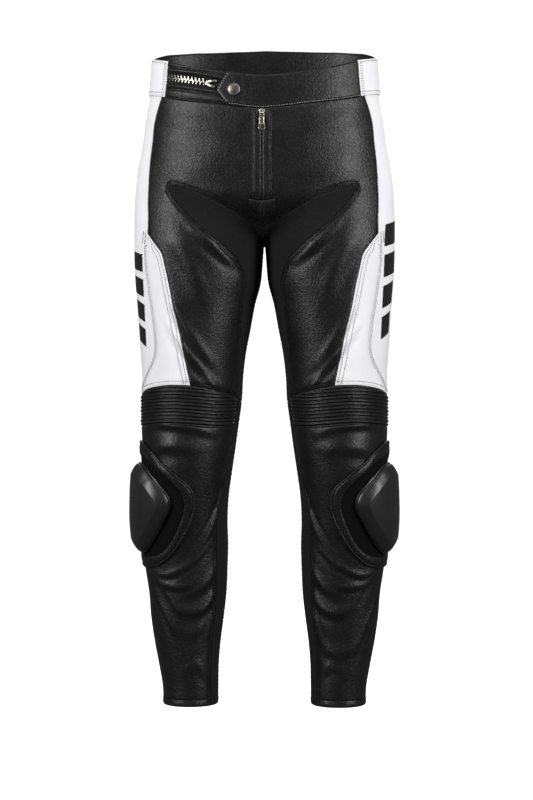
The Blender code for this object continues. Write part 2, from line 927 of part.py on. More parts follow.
def between(rows, start, end):
    """The part of a line from one share of the way round to another, with both ends on it."""
    points = seam(rows)
    inside = points[(points[:, 0] > start + 0.004) & (points[:, 0] < end - 0.004)]
    ends = np.column_stack([(start, end), smooth_line(rows, (start, end))])
    return np.concatenate([ends[:1], inside, ends[1:]])


def waistband():
    """The band round the waist: front with its tab, sides and back."""
    line = lines_round()
    waist, top = line["waist"], line["top"]
    upper, lower = TAB_CORNERS
    front_edge = np.array([(BAND_SIDE_FRONT, -41), (BAND_SIDE_FRONT, -14), (BAND_SIDE_FRONT, 13.5)])
    front = loop(
        mirrored(stretch(waist, 0, -lower[0])),
        stretch(waist, 0, BAND_SIDE_FRONT),
        front_edge,
        stretch(top, 0, BAND_SIDE_FRONT)[::-1],
        mirrored(stretch(top, 0, -upper[0]))[::-1],
        np.array([upper, TAB_POINT, lower]),
    )
    cloth("waistband_front", flat(front), "black_leather", 1, band_rise, BAND_LEATHER)
    back_edge = np.array([(BAND_SIDE_BACK, -29), (BAND_SIDE_BACK, 0), (BAND_SIDE_BACK, 28)])
    for side, hand in SIDES:
        outline = loop(
            stretch(waist, BAND_SIDE_FRONT, BAND_SIDE_BACK),
            back_edge,
            stretch(top, BAND_SIDE_FRONT, BAND_SIDE_BACK)[::-1],
            front_edge[::-1],
        )
        cloth(
            f"waist_side_{hand}", flat(outline), "white_leather", side, SIDE_BAND_RISE, BAND_LEATHER
        )
    past = np.array([2.0, 0.0])
    waist_back, top_back = stretch(waist, BAND_SIDE_BACK, 1), stretch(top, BAND_SIDE_BACK, 1)
    back = loop(
        waist_back,
        past + mirrored(waist_back),
        past + mirrored(back_edge)[::-1],
        (past + mirrored(top_back))[::-1],
        top_back[::-1],
        back_edge[::-1],
    )
    cloth("waistband_back", flat(back), "black_leather", 1, BAND_RISE, BAND_LEATHER)


def waist_zip():
    """The zip in the wearer's right half of the band: two strips, the tape, its teeth and slider."""
    reach = (-ZIP_END, BAND_SIDE_FRONT)
    fold_upper = between(ZIP_UPPER, -BAND_SIDE_FRONT, ZIP_END)
    fold_lower = between(ZIP_LOWER, -BAND_SIDE_FRONT, ZIP_END)
    top = mirrored(between(WAIST_TOP, *reach))
    waist = mirrored(between(WAIST_SEAM, *reach))
    upper = loop(
        fold_upper,
        np.array([fold_upper[-1], top[-1]]),
        top[::-1],
        np.array([top[0], fold_upper[0]]),
    )
    lower = loop(
        waist,
        np.array([waist[-1], fold_lower[-1]]),
        fold_lower[::-1],
        np.array([fold_lower[0], waist[0]]),
    )
    for name, outline in (("zip_strip_upper", upper), ("zip_strip_lower", lower)):
        cloth(name, flat(outline), "black_leather", 1, BAND_RISE, BAND_LEATHER)
    tape_top = BAND_RISE - BAND_LEATHER - ZIP_TAPE_DROP
    at = np.linspace(CHAIN_ENDS[0], ZIP_END - 0.004, 12)
    high = smooth_line(ZIP_UPPER, at) + ZIP_TAPE_REACH
    low = smooth_line(ZIP_LOWER, at) - ZIP_TAPE_REACH
    middle = (high + low) / 2
    outline = np.column_stack([np.r_[at, at[::-1]], np.r_[low, high[::-1]]])
    none = np.zeros((0, 2))
    cloth("zip_tape", flat(outline), "zip_tape", 1, tape_top, ZIP_TAPE_THICK, none)
    teeth = at < CHAIN_ENDS[1] + 0.001
    at, middle = at[teeth], middle[teeth]
    half = CHAIN_WIDE / 2
    outline = np.column_stack([np.r_[at, at[::-1]], np.r_[middle - half, (middle + half)[::-1]]])
    chain_top = tape_top + ZIP_TAPE_DROP + CHAIN_THICK
    cloth("zip_teeth", flat(outline), "silver_metal", 1, chain_top, CHAIN_THICK, none)
    start = WAIST_SLIDER_START * ROUND_MM
    along_zip = np.array([start + place for place, _ in WAIST_SLIDER])
    middle = smooth_line(ZIP_UPPER, along_zip / ROUND_MM) + smooth_line(ZIP_LOWER, along_zip / ROUND_MM)
    half = np.array([wide / 2 for _, wide in WAIST_SLIDER])
    low, high = middle / 2 - half, middle / 2 + half
    outline = np.column_stack([np.r_[along_zip, along_zip[::-1]], np.r_[low, high[::-1]]])
    slider_top = tape_top + ZIP_TAPE_DROP + WAIST_SLIDER_THICK
    cloth("zip_slider", outline, "silver_metal", 1, slider_top, WAIST_SLIDER_THICK, none)


def snap():
    """The domed snap on the tab."""
    point, normal = surface(SNAP_ROUND, SNAP_HEIGHT, 1)
    base = point + normal * (BAND_RISE + TAB_RISE + 0.4)
    sideways = unit(np.cross(normal, [0, 0, 1]))
    upwards = np.cross(sideways, normal)
    turn = 2 * np.pi * np.arange(24)[:, None] / 24
    rings = [
        base + normal * height + radius * (np.cos(turn) * sideways + np.sin(turn) * upwards)
        for radius, height in SNAP_PROFILE
    ]
    ringed("waist_snap", rings, "dark_metal")


def across_front(points):
    """Points given in millimetres from the centre front, as shares of the way round."""
    shares = np.linspace(0, 0.12, 60)
    found = []
    for x, height in points:
        across = surface(shares, np.full(60, height))[0][:, 0]
        found.append((np.interp(x, across, shares), height))
    return np.array(found)


def corner(middle, radius, start, end, count=4):
    """Points of a rounded corner, between two directions in degrees."""
    turn = np.radians(np.linspace(start, end, count))
    return np.column_stack([middle[0] + radius * np.cos(turn), middle[1] + radius * np.sin(turn)])


def fly(side, hand):
    """The folded facing beside the fly's slit and the rounded leather at its end."""
    wide, open_from, open_to = FLY_OPENING
    heights = np.linspace(FLY_TOP, FLY_BOTTOM + FLY_CORNER, 8)
    inner = [(wide, FLY_TOP), (wide, open_from), (FLY_SLIT, open_to)]
    inner += [(FLY_SLIT, height) for height in np.linspace(open_to, FLY_BOTTOM, 6)[1:]]
    outer = [(FLY_EDGE, height) for height in heights[::-1]][1:]
    low = corner((FLY_EDGE - FLY_CORNER, FLY_BOTTOM + FLY_CORNER), FLY_CORNER, -90, 0)
    outline = np.array([*inner, *low, *outer])
    none = np.zeros((0, 2))
    top = FLY_LIFT + FLY_THICK
    cloth(f"fly_facing_{hand}", outline, "black_leather", side, top, FLY_THICK, none, across_front)
    high, deep = FLY_END_HEIGHTS
    inner = [(0.001, high), (0.001, (high + deep) / 2), (0.001, deep)]
    low = corner((FLY_END_EDGE - FLY_END_CORNER, deep + FLY_END_CORNER), FLY_END_CORNER, -90, 0)
    outline = np.array([*inner, (5, deep), *low, (FLY_END_EDGE, high), (FLY_END_EDGE / 2, high)])
    cloth(f"fly_end_{hand}", outline, "black_leather", side, top, FLY_THICK, none, across_front)


def box(size, middle):
    """A box, as a bmesh, from its size and middle."""
    body = bmesh.new()
    bmesh.ops.create_cube(body, size=1, matrix=Matrix.Translation(middle) @ Matrix.Diagonal((*size, 1)))
    return body


def rod(radius, long, middle):
    """A round rod along X, as a bmesh."""
    turned = Matrix.Translation(middle) @ Matrix.Rotation(math.pi / 2, 4, "Y")
    body = bmesh.new()
    bmesh.ops.create_cone(
        body,
        cap_ends=True,
        segments=ROUND_SIDES,
        radius1=radius,
        radius2=radius,
        depth=long,
        matrix=turned,
    )
    return body


def solid(name, body, place, colour, hidden=False):
    """An object from a bmesh in millimetres, with its origin at place."""
    bmesh.ops.scale(body, vec=(MM, MM, MM), verts=body.verts)
    bmesh.ops.recalc_face_normals(body, faces=body.faces)
    mesh = bpy.data.meshes.new(name)
    body.to_mesh(mesh)
    body.free()
    made = bpy.data.objects.new(name, mesh)
    made.matrix_world = place
    if hidden:
        made.hide_render = True
        made.display_type = "WIRE"
        bpy.data.collections["helpers"].objects.link(made)
    else:
        mesh.materials.append(MATERIALS[colour])
        bpy.data.collections[COLLECTION].objects.link(made)
    return made


def combine(target, other, operation):
    modifier = target.modifiers.new(other.name, "BOOLEAN")
    modifier.object = other
    modifier.operation = operation
    modifier.solver = "EXACT"


def fly_zip():
    """The fly's zip slider, and the pull tab that turns on its pin. Local Y points into the body."""
    wide, tall, thick = SLIDER_SIZE
    point, normal = surface(0.0, SLIDER_TOP - PIN_DROP, 1)
    outwards = Vector((0, normal[1], normal[2])).normalized()
    pin = Vector((0, point[1], point[2])) + outwards * (SLIDER_LIFT + thick + PIN_HEIGHT)
    downwards = Vector((1, 0, 0)).cross(outwards)
    if downwards.z > 0:
        downwards.negate()
    place = Matrix.Translation(pin * MM) @ Matrix(
        ((1, 0, 0), (0, -outwards.y, -downwards.y), (0, -outwards.z, -downwards.z))
    ).to_4x4()
    body_at = (0, PIN_HEIGHT + thick / 2, PIN_DROP - tall / 2)
    slider = solid("fly_zip_slider", box((wide, thick, tall), body_at), place, "silver_metal")
    cheek_wide, cheek_deep, cheek_tall = CHEEK_SIZE
    for end in (-1, 1):
        middle = (end * (CHEEK_APART + cheek_wide) / 2, PIN_HEIGHT + 0.6 - cheek_deep / 2, 0)
        cheek = box((cheek_wide, cheek_deep, cheek_tall), middle)
        name = "cheek_right" if end < 0 else "cheek_left"
        combine(slider, solid(name, cheek, place, None, True), "UNION")
    pin_rod = rod(PIN_RADIUS, CHEEK_APART + cheek_wide, (0, 0, 0))
    combine(slider, solid("slider_pin", pin_rod, place, None, True), "UNION")
    eye_outer, eye_inner = EYE_RADII
    upper, lower = PULL_WIDE
    plate = box((1, PULL_THICK, PULL_LONG - PULL_START), (0, 0, -(PULL_LONG + PULL_START) / 2))
    for drop in (PULL_NECK, PULL_SHOULDER):
        bmesh.ops.bisect_plane(
            plate,
            geom=[*plate.verts, *plate.edges, *plate.faces],
            plane_co=(0, 0, -drop),
            plane_no=(0, 0, 1),
        )
    drops = (PULL_START, PULL_NECK, PULL_SHOULDER, PULL_LONG)
    for spot in plate.verts:
        wide_here = np.interp(-spot.co.z, drops, (EYE_WIDE, EYE_WIDE, upper, lower))
        spot.co.x *= wide_here
    pull = solid("fly_zip_pull", plate, place, "silver_metal")
    combine(pull, solid("pull_eye", rod(eye_outer, EYE_WIDE, (0, 0, 0)), place, None, True), "UNION")
    bore = rod(eye_inner, EYE_WIDE + 2, (0, 0, 0))
    combine(pull, solid("pull_bore", bore, place, None, True), "DIFFERENCE")
    radius, drop = PULL_HOLE
    hole = rod(radius, PULL_THICK + 2, (0, 0, 0))
    bmesh.ops.rotate(hole, matrix=Matrix.Rotation(math.pi / 2, 3, "Z"), verts=hole.verts)
    bmesh.ops.translate(hole, vec=(0, 0, -drop), verts=hole.verts)
    combine(pull, solid("pull_hole", hole, place, None, True), "DIFFERENCE")


SIDES = ((1, "left"), (-1, "right"))


def main():
    for old in list(bpy.data.objects):
        bpy.data.objects.remove(old)
    for name in (COLLECTION, "helpers"):
        bpy.context.scene.collection.children.link(bpy.data.collections.new(name))
    bpy.data.collections["helpers"].hide_render = True
    material("black_leather", (0.012, 0.012, 0.013), 0, 0.42)
    material("white_leather", (0.82, 0.82, 0.82), 0, 0.5)
    material("stretch_textile", (0.009, 0.009, 0.01), 0, 0.85)
    material("hook_and_loop", (0.006, 0.006, 0.006), 0, 0.95)
    material("hard_plastic", (0.014, 0.014, 0.015), 0, 0.3)
    material("zip_tape", (0.01, 0.01, 0.01), 0, 0.9)
    material("silver_metal", (0.6, 0.6, 0.58), 1, 0.3)
    material("dark_metal", (0.08, 0.075, 0.07), 1, 0.35)
    for side, hand in SIDES:
        body_pieces(side, hand)
        knee_expander(side, hand)
        slider_pieces(side, hand)
        fly(side, hand)
    waistband()
    waist_zip()
    snap()
    fly_zip()


main()
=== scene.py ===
"""Leather riding pants, dressed: leather, stretch textile, stitching, zips, snap and knee sliders.

Sizes are in millimetres in the tables and in metres in the meshes. +Z is up, the front faces -Y and
the wearer's left is +X. The cloth lies on one surface, point = body_point(u, v): u runs round a half
from 0 at the centre front and inseam, by 0.5 at the outer side, to 1 at the centre back and inseam,
and v is the height. Every piece is cut flat in (u, v), laid on that surface and given its thickness.
"""

import math

import bmesh
import bpy
import numpy as np
from bpy.props import FloatProperty, FloatVectorProperty, PointerProperty
from mathutils import Matrix, Vector


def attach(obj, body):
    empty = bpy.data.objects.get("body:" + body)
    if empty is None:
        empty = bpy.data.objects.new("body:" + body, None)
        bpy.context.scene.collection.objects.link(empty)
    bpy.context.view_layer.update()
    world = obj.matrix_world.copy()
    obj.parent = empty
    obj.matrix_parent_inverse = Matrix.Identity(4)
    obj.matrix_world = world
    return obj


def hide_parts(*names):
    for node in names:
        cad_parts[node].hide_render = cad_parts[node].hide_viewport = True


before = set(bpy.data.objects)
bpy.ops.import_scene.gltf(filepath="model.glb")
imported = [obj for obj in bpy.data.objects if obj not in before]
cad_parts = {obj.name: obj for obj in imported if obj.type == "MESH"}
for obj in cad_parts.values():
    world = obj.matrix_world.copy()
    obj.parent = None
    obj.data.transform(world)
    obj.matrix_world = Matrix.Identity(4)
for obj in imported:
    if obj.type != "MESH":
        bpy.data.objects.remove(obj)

bl_info = {
    "name": "Leather riding pants",
    "version": (1, 0, 0),
    "blender": (4, 5, 0),
    "location": "View3D > Sidebar > Pants",
    "description": "Cuts and sews a pair of leather riding pants on their measured form",
    "category": "Object",
}

MM = 0.001
GARMENT = "garment"
PULL_BODY = "zip_pull"
SIDES = ((1, "left"), (-1, "right"))

# The worn form: the torso down to the crotch, then the leg down to the hem
TORSO_COLUMNS = ("z", "half_width", "front", "back")
TORSO = (
    (75, 171, 101, 92), (30, 172, 103, 95), (0, 174, 105, 98),
    (-30, 177, 108, 104), (-72, 184, 111, 115), (-110, 189, 113, 125),
    (-147, 196, 114, 132), (-184, 200, 113, 136), (-222, 201.5, 110, 134),
    (-265, 201.5, 104, 122),
)
LEG_COLUMNS = ("z", "outer", "inner", "front", "back")
LEG = (
    (-265, 201.5, 1.2, 104, 120), (-290, 201, 3, 102, 114), (-320, 199.5, 6, 100, 108),
    (-352, 197, 14.5, 98, 101), (-390, 194.5, 21.5, 96, 95), (-426, 192, 28.5, 94, 89),
    (-464, 189.5, 33, 92, 84), (-501, 190.5, 35, 91, 79), (-538, 190.5, 40, 90, 76),
    (-575, 189, 45, 89, 75), (-612, 188, 50.5, 85, 78), (-649, 187.5, 55.5, 79, 84),
    (-687, 188, 57.5, 72, 90), (-724, 187.5, 56.5, 66, 93), (-761, 184.5, 57.5, 62, 91),
    (-798, 179, 59, 58, 86), (-835, 176, 63, 55, 80), (-873, 170.5, 68, 52, 73),
    (-910, 163.5, 71, 50, 67), (-947, 157.5, 71.5, 49, 63), (-970, 157, 72, 49, 62),
)
TORSO_SQUARENESS = 0.86
LEG_SQUARENESS = 0.95
RISE_TOP = -185.0
CROTCH = -265.0
HEM = -970.0
RISE_REACH = 0.18
UPRIGHT_SHARE = 0.6
RISE_CLEAR = 0.1
HALVES_MEET = 0.08
ROUND_MM = 620.0
SEAM_INSET = 0.03

# Lines round the garment: the share of the way round, and the height
WAIST_TOP = (
    (0, -13.5), (0.06, -12.5), (0.126, -9), (0.19, -4.5), (0.26, 3),
    (0.335, 13.5), (0.42, 21), (0.5, 28), (0.56, 36), (0.63, 44),
    (0.74, 51), (0.87, 55), (1, 57),
)
WAIST_SEAM = (
    (0, -64), (0.06, -62.5), (0.121, -58.5), (0.19, -54), (0.26, -48.5),
    (0.335, -41), (0.354, -38.5), (0.43, -33), (0.5, -29), (0.585, -20),
    (0.66, -12), (0.75, -6), (0.87, -1), (1, 0),
)
KNEE_SEAM = (
    (0, -503), (0.056, -499), (0.109, -492), (0.17, -486), (0.21, -482),
    (0.245, -478.5), (0.31, -478), (0.372, -481), (0.421, -485), (0.458, -490),
    (0.5, -494), (0.585, -497), (0.7, -500), (0.85, -503), (1, -503),
)
RIBS_END = (
    (0.05, -539), (0.16, -540), (0.212, -538), (0.281, -535), (0.337, -535.5),
    (0.42, -538), (0.505, -542), (0.585, -543),
)
WING_TOP = (
    (0, -224), (0.03, -224.5), (0.063, -224.5), (0.111, -216.5), (0.145, -204),
    (0.178, -193), (0.225, -183.5), (0.265, -177), (0.279, -178),
)
WING_LOW = (
    (0.279, -178), (0.283, -184), (0.264, -199), (0.248, -217), (0.234, -234),
    (0.212, -253), (0.185, -268), (0.166, -277), (0.146, -286), (0.131, -297),
    (0.115, -311), (0.103, -326), (0.100, -345), (0.088, -391), (0.067, -440),
    (0.06, -475), (0.056, -499),
)
STRIPE_FRONT = (
    (0.354, -38.5), (0.368, -60), (0.377, -85), (0.372, -115), (0.364, -150),
    (0.359, -188), (0.366, -220), (0.378, -248),
)
WEDGE_FRONT = (
    (0.378, -248), (0.354, -264), (0.33, -280), (0.323, -300), (0.299, -358),
    (0.2715, -414), (0.245, -478.5),
)
WEDGE_REAR = (
    (0.378, -248), (0.384, -275), (0.381, -300), (0.375, -320), (0.364, -356),
    (0.354, -388), (0.348, -416), (0.353, -433), (0.375, -450), (0.405, -464),
    (0.435, -477), (0.458, -490),
)
CALF_FRONT_UPPER = ((0.056, -499), (0.05, -520), (0.05, -539))
CALF_FRONT = (
    (0.05, -539), (0.047, -558), (0.063, -596), (0.094, -652), (0.108, -699),
    (0.113, -746), (0.11, -797), (0.111, -837), (0.108, -884), (0.11, -926),
    (0.112, HEM),
)
# Where seams meet, as shares of the way round, and where the upright seams start and end
SIDE_ROUND = 0.585
BAND_SIDE_FRONT = 0.335
BAND_SIDE_BACK = 0.5
STRIPE_TOP = 0.354
WEDGE_FOOT = (0.245, 0.458)
INNER_KNEE = 0.056
INNER_RIBS_END = 0.05
INNER_HEM = 0.112
FRONT_TOP = -64
WING_START = -224
KNEE_INSIDE = -503
SIDE_HEIGHTS = (-20, -497, -543)
# Rows of stitches: their distances from the seam
ONE_ROW = (2.2,)
TWO_ROWS = (2.2, 5.0)
WHITE_ROW = (6.2,)
WEDGE_ROWS = (3.4, 9.0)

# Creases, each a ridge with a softer trough beside it, along a bent line of three points.
# A row holds the side (1 for the wearer's left leg, -1 for the right and 0 for both), each point's
# share of the way round and height, the crease's width and its rise.
CREASES = (
    (0, 0.09, -96, 0.20, -88, 0.33, -72, 12, 1.8),
    (0, 0.12, -140, 0.22, -150, 0.32, -128, 22, 1.6),
    (-1, 0.312, -384, 0.238, -440, 0.165, -480, 5, 4.2),
    (-1, 0.300, -352, 0.247, -403, 0.185, -444, 7, 3.8),
    (-1, 0.292, -262, 0.257, -303, 0.228, -344, 11, 3.6),
    (-1, 0.250, -242, 0.203, -273, 0.155, -296, 5.5, 3.6),
    (1, 0.314, -386, 0.239, -442, 0.168, -480, 5, 4.2),
    (1, 0.303, -358, 0.246, -412, 0.198, -446, 7, 3.8),
    (1, 0.296, -264, 0.260, -307, 0.232, -346, 11, 3.6),
    (1, 0.255, -240, 0.210, -271, 0.160, -293, 5.5, 3.6),
    (0, 0.150, -486, 0.210, -474, 0.262, -466, 8, 2.2),
    (-1, 0.41, -541, 0.30, -538, 0.15, -553, 6, 3.2),
    (-1, 0.37, -577, 0.30, -570, 0.22, -577, 9, 2.8),
    (1, 0.38, -541, 0.29, -539, 0.17, -553, 6, 3.2),
    (1, 0.36, -580, 0.29, -573, 0.20, -577, 9, 2.8),
    (0, 0.072, -618, 0.122, -682, 0.215, -736, 4.5, 3.0),
    (0, 0.405, -752, 0.300, -766, 0.150, -722, 4, 2.8),
    (0, 0.390, -768, 0.280, -786, 0.200, -770, 4.5, 2.8),
    (0, 0.260, -792, 0.180, -784, 0.105, -748, 8, 2.8),
    (0, 0.300, -812, 0.205, -824, 0.120, -796, 7, 3.4),
    (0, 0.395, -766, 0.345, -786, 0.290, -815, 3.6, 2.6),
    (-1, 0.415, -786, 0.306, -847, 0.240, -912, 3.4, 4.4),
    (1, 0.460, -786, 0.362, -848, 0.295, -912, 3.4, 4.4),
    (0, 0.112, -810, 0.128, -838, 0.160, -872, 4.5, 2.2),
    (-1, 0.300, -842, 0.240, -858, 0.170, -846, 8, 1.4),
    (1, 0.330, -868, 0.250, -886, 0.160, -876, 8, 2.4),
    (0, 0.270, -920, 0.205, -905, 0.140, -926, 8, 1.6),
    (0, 0.62, -518, 0.80, -530, 0.96, -512, 11, 4.4),
    (0, 0.63, -556, 0.78, -572, 0.94, -556, 10, 3.8),
    (0, 0.66, -596, 0.80, -604, 0.92, -586, 10, 2.8),
    (0, 0.62, -478, 0.78, -462, 0.93, -470, 11, 2.8),
    (0, 0.64, -300, 0.80, -320, 0.95, -292, 12, 3.4),
    (0, 0.68, -336, 0.82, -356, 0.93, -340, 11, 2.6),
    (0, 0.67, -858, 0.80, -872, 0.92, -850, 9, 2.6),
    (0, 0.65, -896, 0.78, -904, 0.89, -890, 9, 2.2),
    (-1, 0.68, -100, 0.80, -128, 0.93, -120, 14, 1.4),
    (1, 0.70, -112, 0.82, -124, 0.95, -132, 14, 1.3),
)
# The trough beside a crease: how far off and how wide in the crease's widths, and its share of the rise
TROUGH = (1.7, 1.15, 0.6)

# The material of each cloth, by its slot
CLOTHS = {
    "black_leather": "milled_cowhide",
    "white_leather": "coated_cowhide",
    "stretch_textile": "stretch_knit",
}

# Stitching: its rows lie at these distances from a seam, and each pulls the cloth into a channel
STITCH_DENT = 0.9
STITCH_DENT_WIDE = 1.0
WHITE_DENT = 0.25
PUCKERS = 6.0
STITCH_SHOWS = 0.6
HEM_TURN = 11.0
HEM_LEVELS = tuple(HEM + HEM_TURN + off for off in (-1.6, -0.8, 0, 0.8, 1.6))
HEM_PROUD = 0.5
HEM_EASE = 3
THREADS = {"white_leather": "grey_thread", "black_leather": "black_thread", "stretch_textile": "black_thread"}

# Cut edges: how far in and how deep they roll, the rings of edges along them, and the grid inside
EDGE_ROLL = 3.2
EDGE_DEPTH = 1.4
EDGE_RINGS = (0.8, 0.7, 0.7, 0.7, 1.4, 0.7, 0.7)
PLAIN_RINGS = (0.8, 1.4)
NARROW_RINGS = (0.8, 0.7, 0.7, 0.7)
CUT_STEP = 4.0
BAND_CUT = (4.0, 4.0)
STRIP_CUT = (4.0, 2.0)
FLY_CUT = (3.0, 5.0)
# How far in from a cut edge the edge tone reaches: wear, with painted light on top of it
WEAR_AND_PAINTED_LIGHT_REACH = 7.0
# A curved band fills little of the box round it: its depth is then its area over its length
CURVED_SHARE = 0.4
CURVED_FILL = 0.9

# Flat cloth: the table of arcs round the form. Only cloth above the band's foot crosses the centre.
BAND_FOOT = -68.0
ARC_SHARES = 161
ARC_STEP = 5.0

# The knee
RIB_PITCH = 5.2
RIB_HEIGHT = 2.7
RIB_FOOT = -1.1
RIBS_DEPTH = 57.0
RIB_CUT = (3.0, 0.72)
RIB_ENDS = 12
RIM_POINTS = 96
RIM_EASING = 2
FRAME_LIFT = 1.2
PATCH_LIFT = 0.9
PATCH_THICK = 1.6
SLIDER_ROUND = 0.43
SLIDER_HEIGHT = -662.0
FRAME_RIM = (
    (0.40, -571), (0.33, -596), (0.27, -616), (0.215, -636), (0.202, -652),
    (0.21, -676), (0.242, -704), (0.29, -736), (0.33, -750), (0.38, -755),
    (0.46, -755), (0.54, -745), (0.60, -712), (0.62, -665), (0.60, -612),
    (0.545, -578), (0.47, -562),
)
PATCH_RIM = (
    (0.41, -586), (0.337, -606), (0.278, -626), (0.242, -644), (0.236, -658),
    (0.243, -678), (0.265, -703), (0.305, -729), (0.34, -738), (0.385, -741),
    (0.455, -740), (0.52, -731), (0.57, -705), (0.588, -664), (0.57, -620),
    (0.53, -592), (0.47, -580),
)
PUCK_RIM = (
    (0.425, -598), (0.365, -614), (0.325, -630), (0.292, -646), (0.283, -655),
    (0.293, -668), (0.318, -688), (0.345, -708), (0.37, -722), (0.405, -733),
    (0.46, -733), (0.505, -722), (0.535, -700), (0.55, -664), (0.54, -630),
    (0.51, -606), (0.465, -596),
)
# Section of the padded frame: the share of the way in from its outer edge, and the rise
FRAME_SECTION = (
    (0.5, 1.4), (0.03, 0.4), (0.0, 0.4), (0.0, 1.4), (0.03, 2.6),
    (0.08, 3.3), (0.14, 3.1), (0.18, 2.2), (0.205, 1.8), (0.23, 2.2),
    (0.29, 2.9), (0.42, 3.4), (0.60, 3.7), (0.76, 3.6), (0.88, 3.2),
    (0.96, 2.6), (1.0, 1.8), (1.0, 1.4),
)
FRAME_INNER = 0.97
FRAME_ROWS = ((0.205, 1.9), (0.88, 3.2))
FRAME_PITCHES = 1.25
# Where the frame is worn, lightened there as wear and a painted highlight, and where its row of stitches
# sinks, darkened there as painted shade: the share of the way in, and the width
FRAME_WORN_AND_PAINTED_HIGHLIGHT = (0.09, 0.05)
FRAME_SUNK = (0.205, 0.03)
# Section of the hard slider: its size as a share of its rim, and the rise
PUCK_SECTION = (
    (0.2, 3.6), (0.6, 3.6), (0.9, 3.4), (0.985, 3.6), (1.0, 4.4),
    (1.003, 6.4), (0.99, 7.0), (0.955, 7.3), (0.95, 7.8), (0.975, 8.3),
    (0.97, 9.4), (0.945, 11.6), (0.89, 14.6), (0.82, 17.4), (0.775, 19.0),
    (0.758, 19.5), (0.748, 19.7), (0.735, 19.85), (0.70, 20.15), (0.5, 21.6),
    (0.3, 22.6), (0.1, 23.1),
)

# The waist. Its pieces lap over the panels' top edges.
WAIST_LAP = 0.8
BAND_RISE = 1.0
SIDE_BAND_RISE = 1.8
BAND_LEATHER = 2.6
TAB_POINT = (-0.157, -36.5)
TAB_CORNERS = ((-0.126, -9), (-0.121, -58.5))
TAB_RAMP = (-0.086, -0.055)
TAB_RISE = 3.5
RAMP_AT = 0.1
SIDE_BAND_ROWS = (3.4, 6.8)
ZIP_END = -0.116
ZIP_UPPER = ((-0.335, -3.5), (-0.225, -12.5), (-0.116, -24.5))
ZIP_LOWER = ((-0.335, -20.5), (-0.225, -29.5), (-0.116, -41.5))
# The strips' rolls: the height, how far from the fold, and the width
STRIP_ROLLS = ((1.9, 3.4, 2.6), (-1.1, 7.8, 1.4), (1.2, 13.0, 3.6))
ZIP_TAPE_REACH = 4.5
ZIP_TAPE_SHY = 0.004
ZIP_TAPE_THICK = 1.0
ZIP_TAPE_TOP = BAND_RISE - BAND_LEATHER - 0.5
# The chain: where its teeth run, and each tooth's two blocks (length, width and how far off the middle)
CHAIN_SPAN = (-0.3295, -0.19)
CHAIN_RISE = ZIP_TAPE_TOP + 2.0
TOOTH_PITCH = 7.6
TOOTH_BLOCKS = ((1.6, 6.0, 2.2), (2.2, 1.8, 0.0))
TOOTH_TALL = 1.9
TOOTH_LEAN = math.radians(20)
TOOTH_BEVEL = 0.28
# The slider's blocks: size, middle and turn in degrees
FORK_ROUND = -0.1765
FORK_RISE = ZIP_TAPE_TOP + 2.6
FORK_BLOCKS = (
    ((5.0, 7.6, 2.4), (-5.0, 0, 0), 0),
    ((13.0, 3.3, 2.4), (1.4, 3.6, 0), 12),
    ((13.0, 3.3, 2.4), (1.4, -3.6, 0), -12),
    ((5.4, 2.4, 1.6), (-3.6, 0, 1.6), 0),
)
SLIDER_BEVEL = 0.5
SNAP_ROUND = -0.101
SNAP_HEIGHT = -37.0
SNAP_RISE = BAND_RISE + TAB_RISE + 0.4
SNAP_POINTS = 48
SNAP_SECTION = (
    (8.6, 0.0), (9.5, 0.2), (9.9, 0.9), (9.8, 1.8), (9.4, 2.3),
    (8.9, 2.4), (8.5, 2.1), (7.9, 2.2), (6.4, 2.9), (4.4, 3.4),
    (2.2, 3.7), (0.6, 3.8),
)

# The fly, in millimetres from the centre front
FLY_SLIT = 0.8
FLY_EDGE = 15.5
FLY_TOP = -67.5
FLY_BOTTOM = -195.5
FLY_OPENING = (5.4, -79.0, -106.0)
FLY_LIFT = 0.8
FLY_THICK = 1.3
FLY_CORNER = 6.0
FLY_END_EDGE = 19.5
FLY_END_HEIGHTS = (-196.4, -213.0)
FLY_END_CORNER = 9.0
FLY_END_SLIT = 0.2
FLY_RIDGE = 9.5
FLY_RIDGE_SECTION = (0.7, 1.5)
SLIDER_TOP = -66.0
PIN_DROP = 7.0
PIN_RISE = 5.1
# The fly's slider about its pin: the body's plate, which narrows downwards, its bridge and two cheeks
FLY_SLIDER_BLOCKS = (
    ((8.8, 1.7, 11.5), (0, 3.55, 1.25)),
    ((3.4, 1.0, 7.5), (0, 2.3, 3.4)),
    ((1.3, 4.4, 3.6), (2.85, 0.4, 0)),
    ((1.3, 4.4, 3.6), (-2.85, 0.4, 0)),
)
FLY_SLIDER_TAPER = 0.74
FLY_PIN = (0.7, 6.6)
# The pull below its pin: its ends, its widths by the drop, where its bars lie, and its two panes
PULL_THICK = 1.4
PULL_ENDS = (-1.2, -25.0)
PULL_WIDTHS = ((1.2, 3.4), (2.5, 3.4), (4.7, 7.4), (25.0, 9.6))
PULL_BARS = (-2.5, -4.7, -17.2)
PULL_PLATE = (-16, -6)
PULL_RIM = 1.5
PULL_STEP = (0.15, -0.4)
PULL_HOLE_RIM = 1.6
PULL_BEVEL = 0.22
PULL_EYE = (1.9, 3.5)

# The printed bars: where the first one's corner lies, how tall a bar is and the gap to the next
BARS = {"left": (0.402, -234.0, 34.0, 13.0), "right": (0.402, -279.0, 27.0, 11.0)}
BAR_SHARES = (1.0, 0.86, 0.72, 0.58)
BAR_WIDE = 60.0
BAR_SLANT = 12.0
BAR_RISE = 0.3
BAR_THICK = 0.25
BAR_RINGS = (1.0,)
BAR_CUT = (5.0, 5.0)

# Materials: a wave texture at scale 1 repeats every 2 pi / 20, and slow changes are this far apart
WAVE_PERIOD = math.tau / 20
SLOW_PATCH = 26

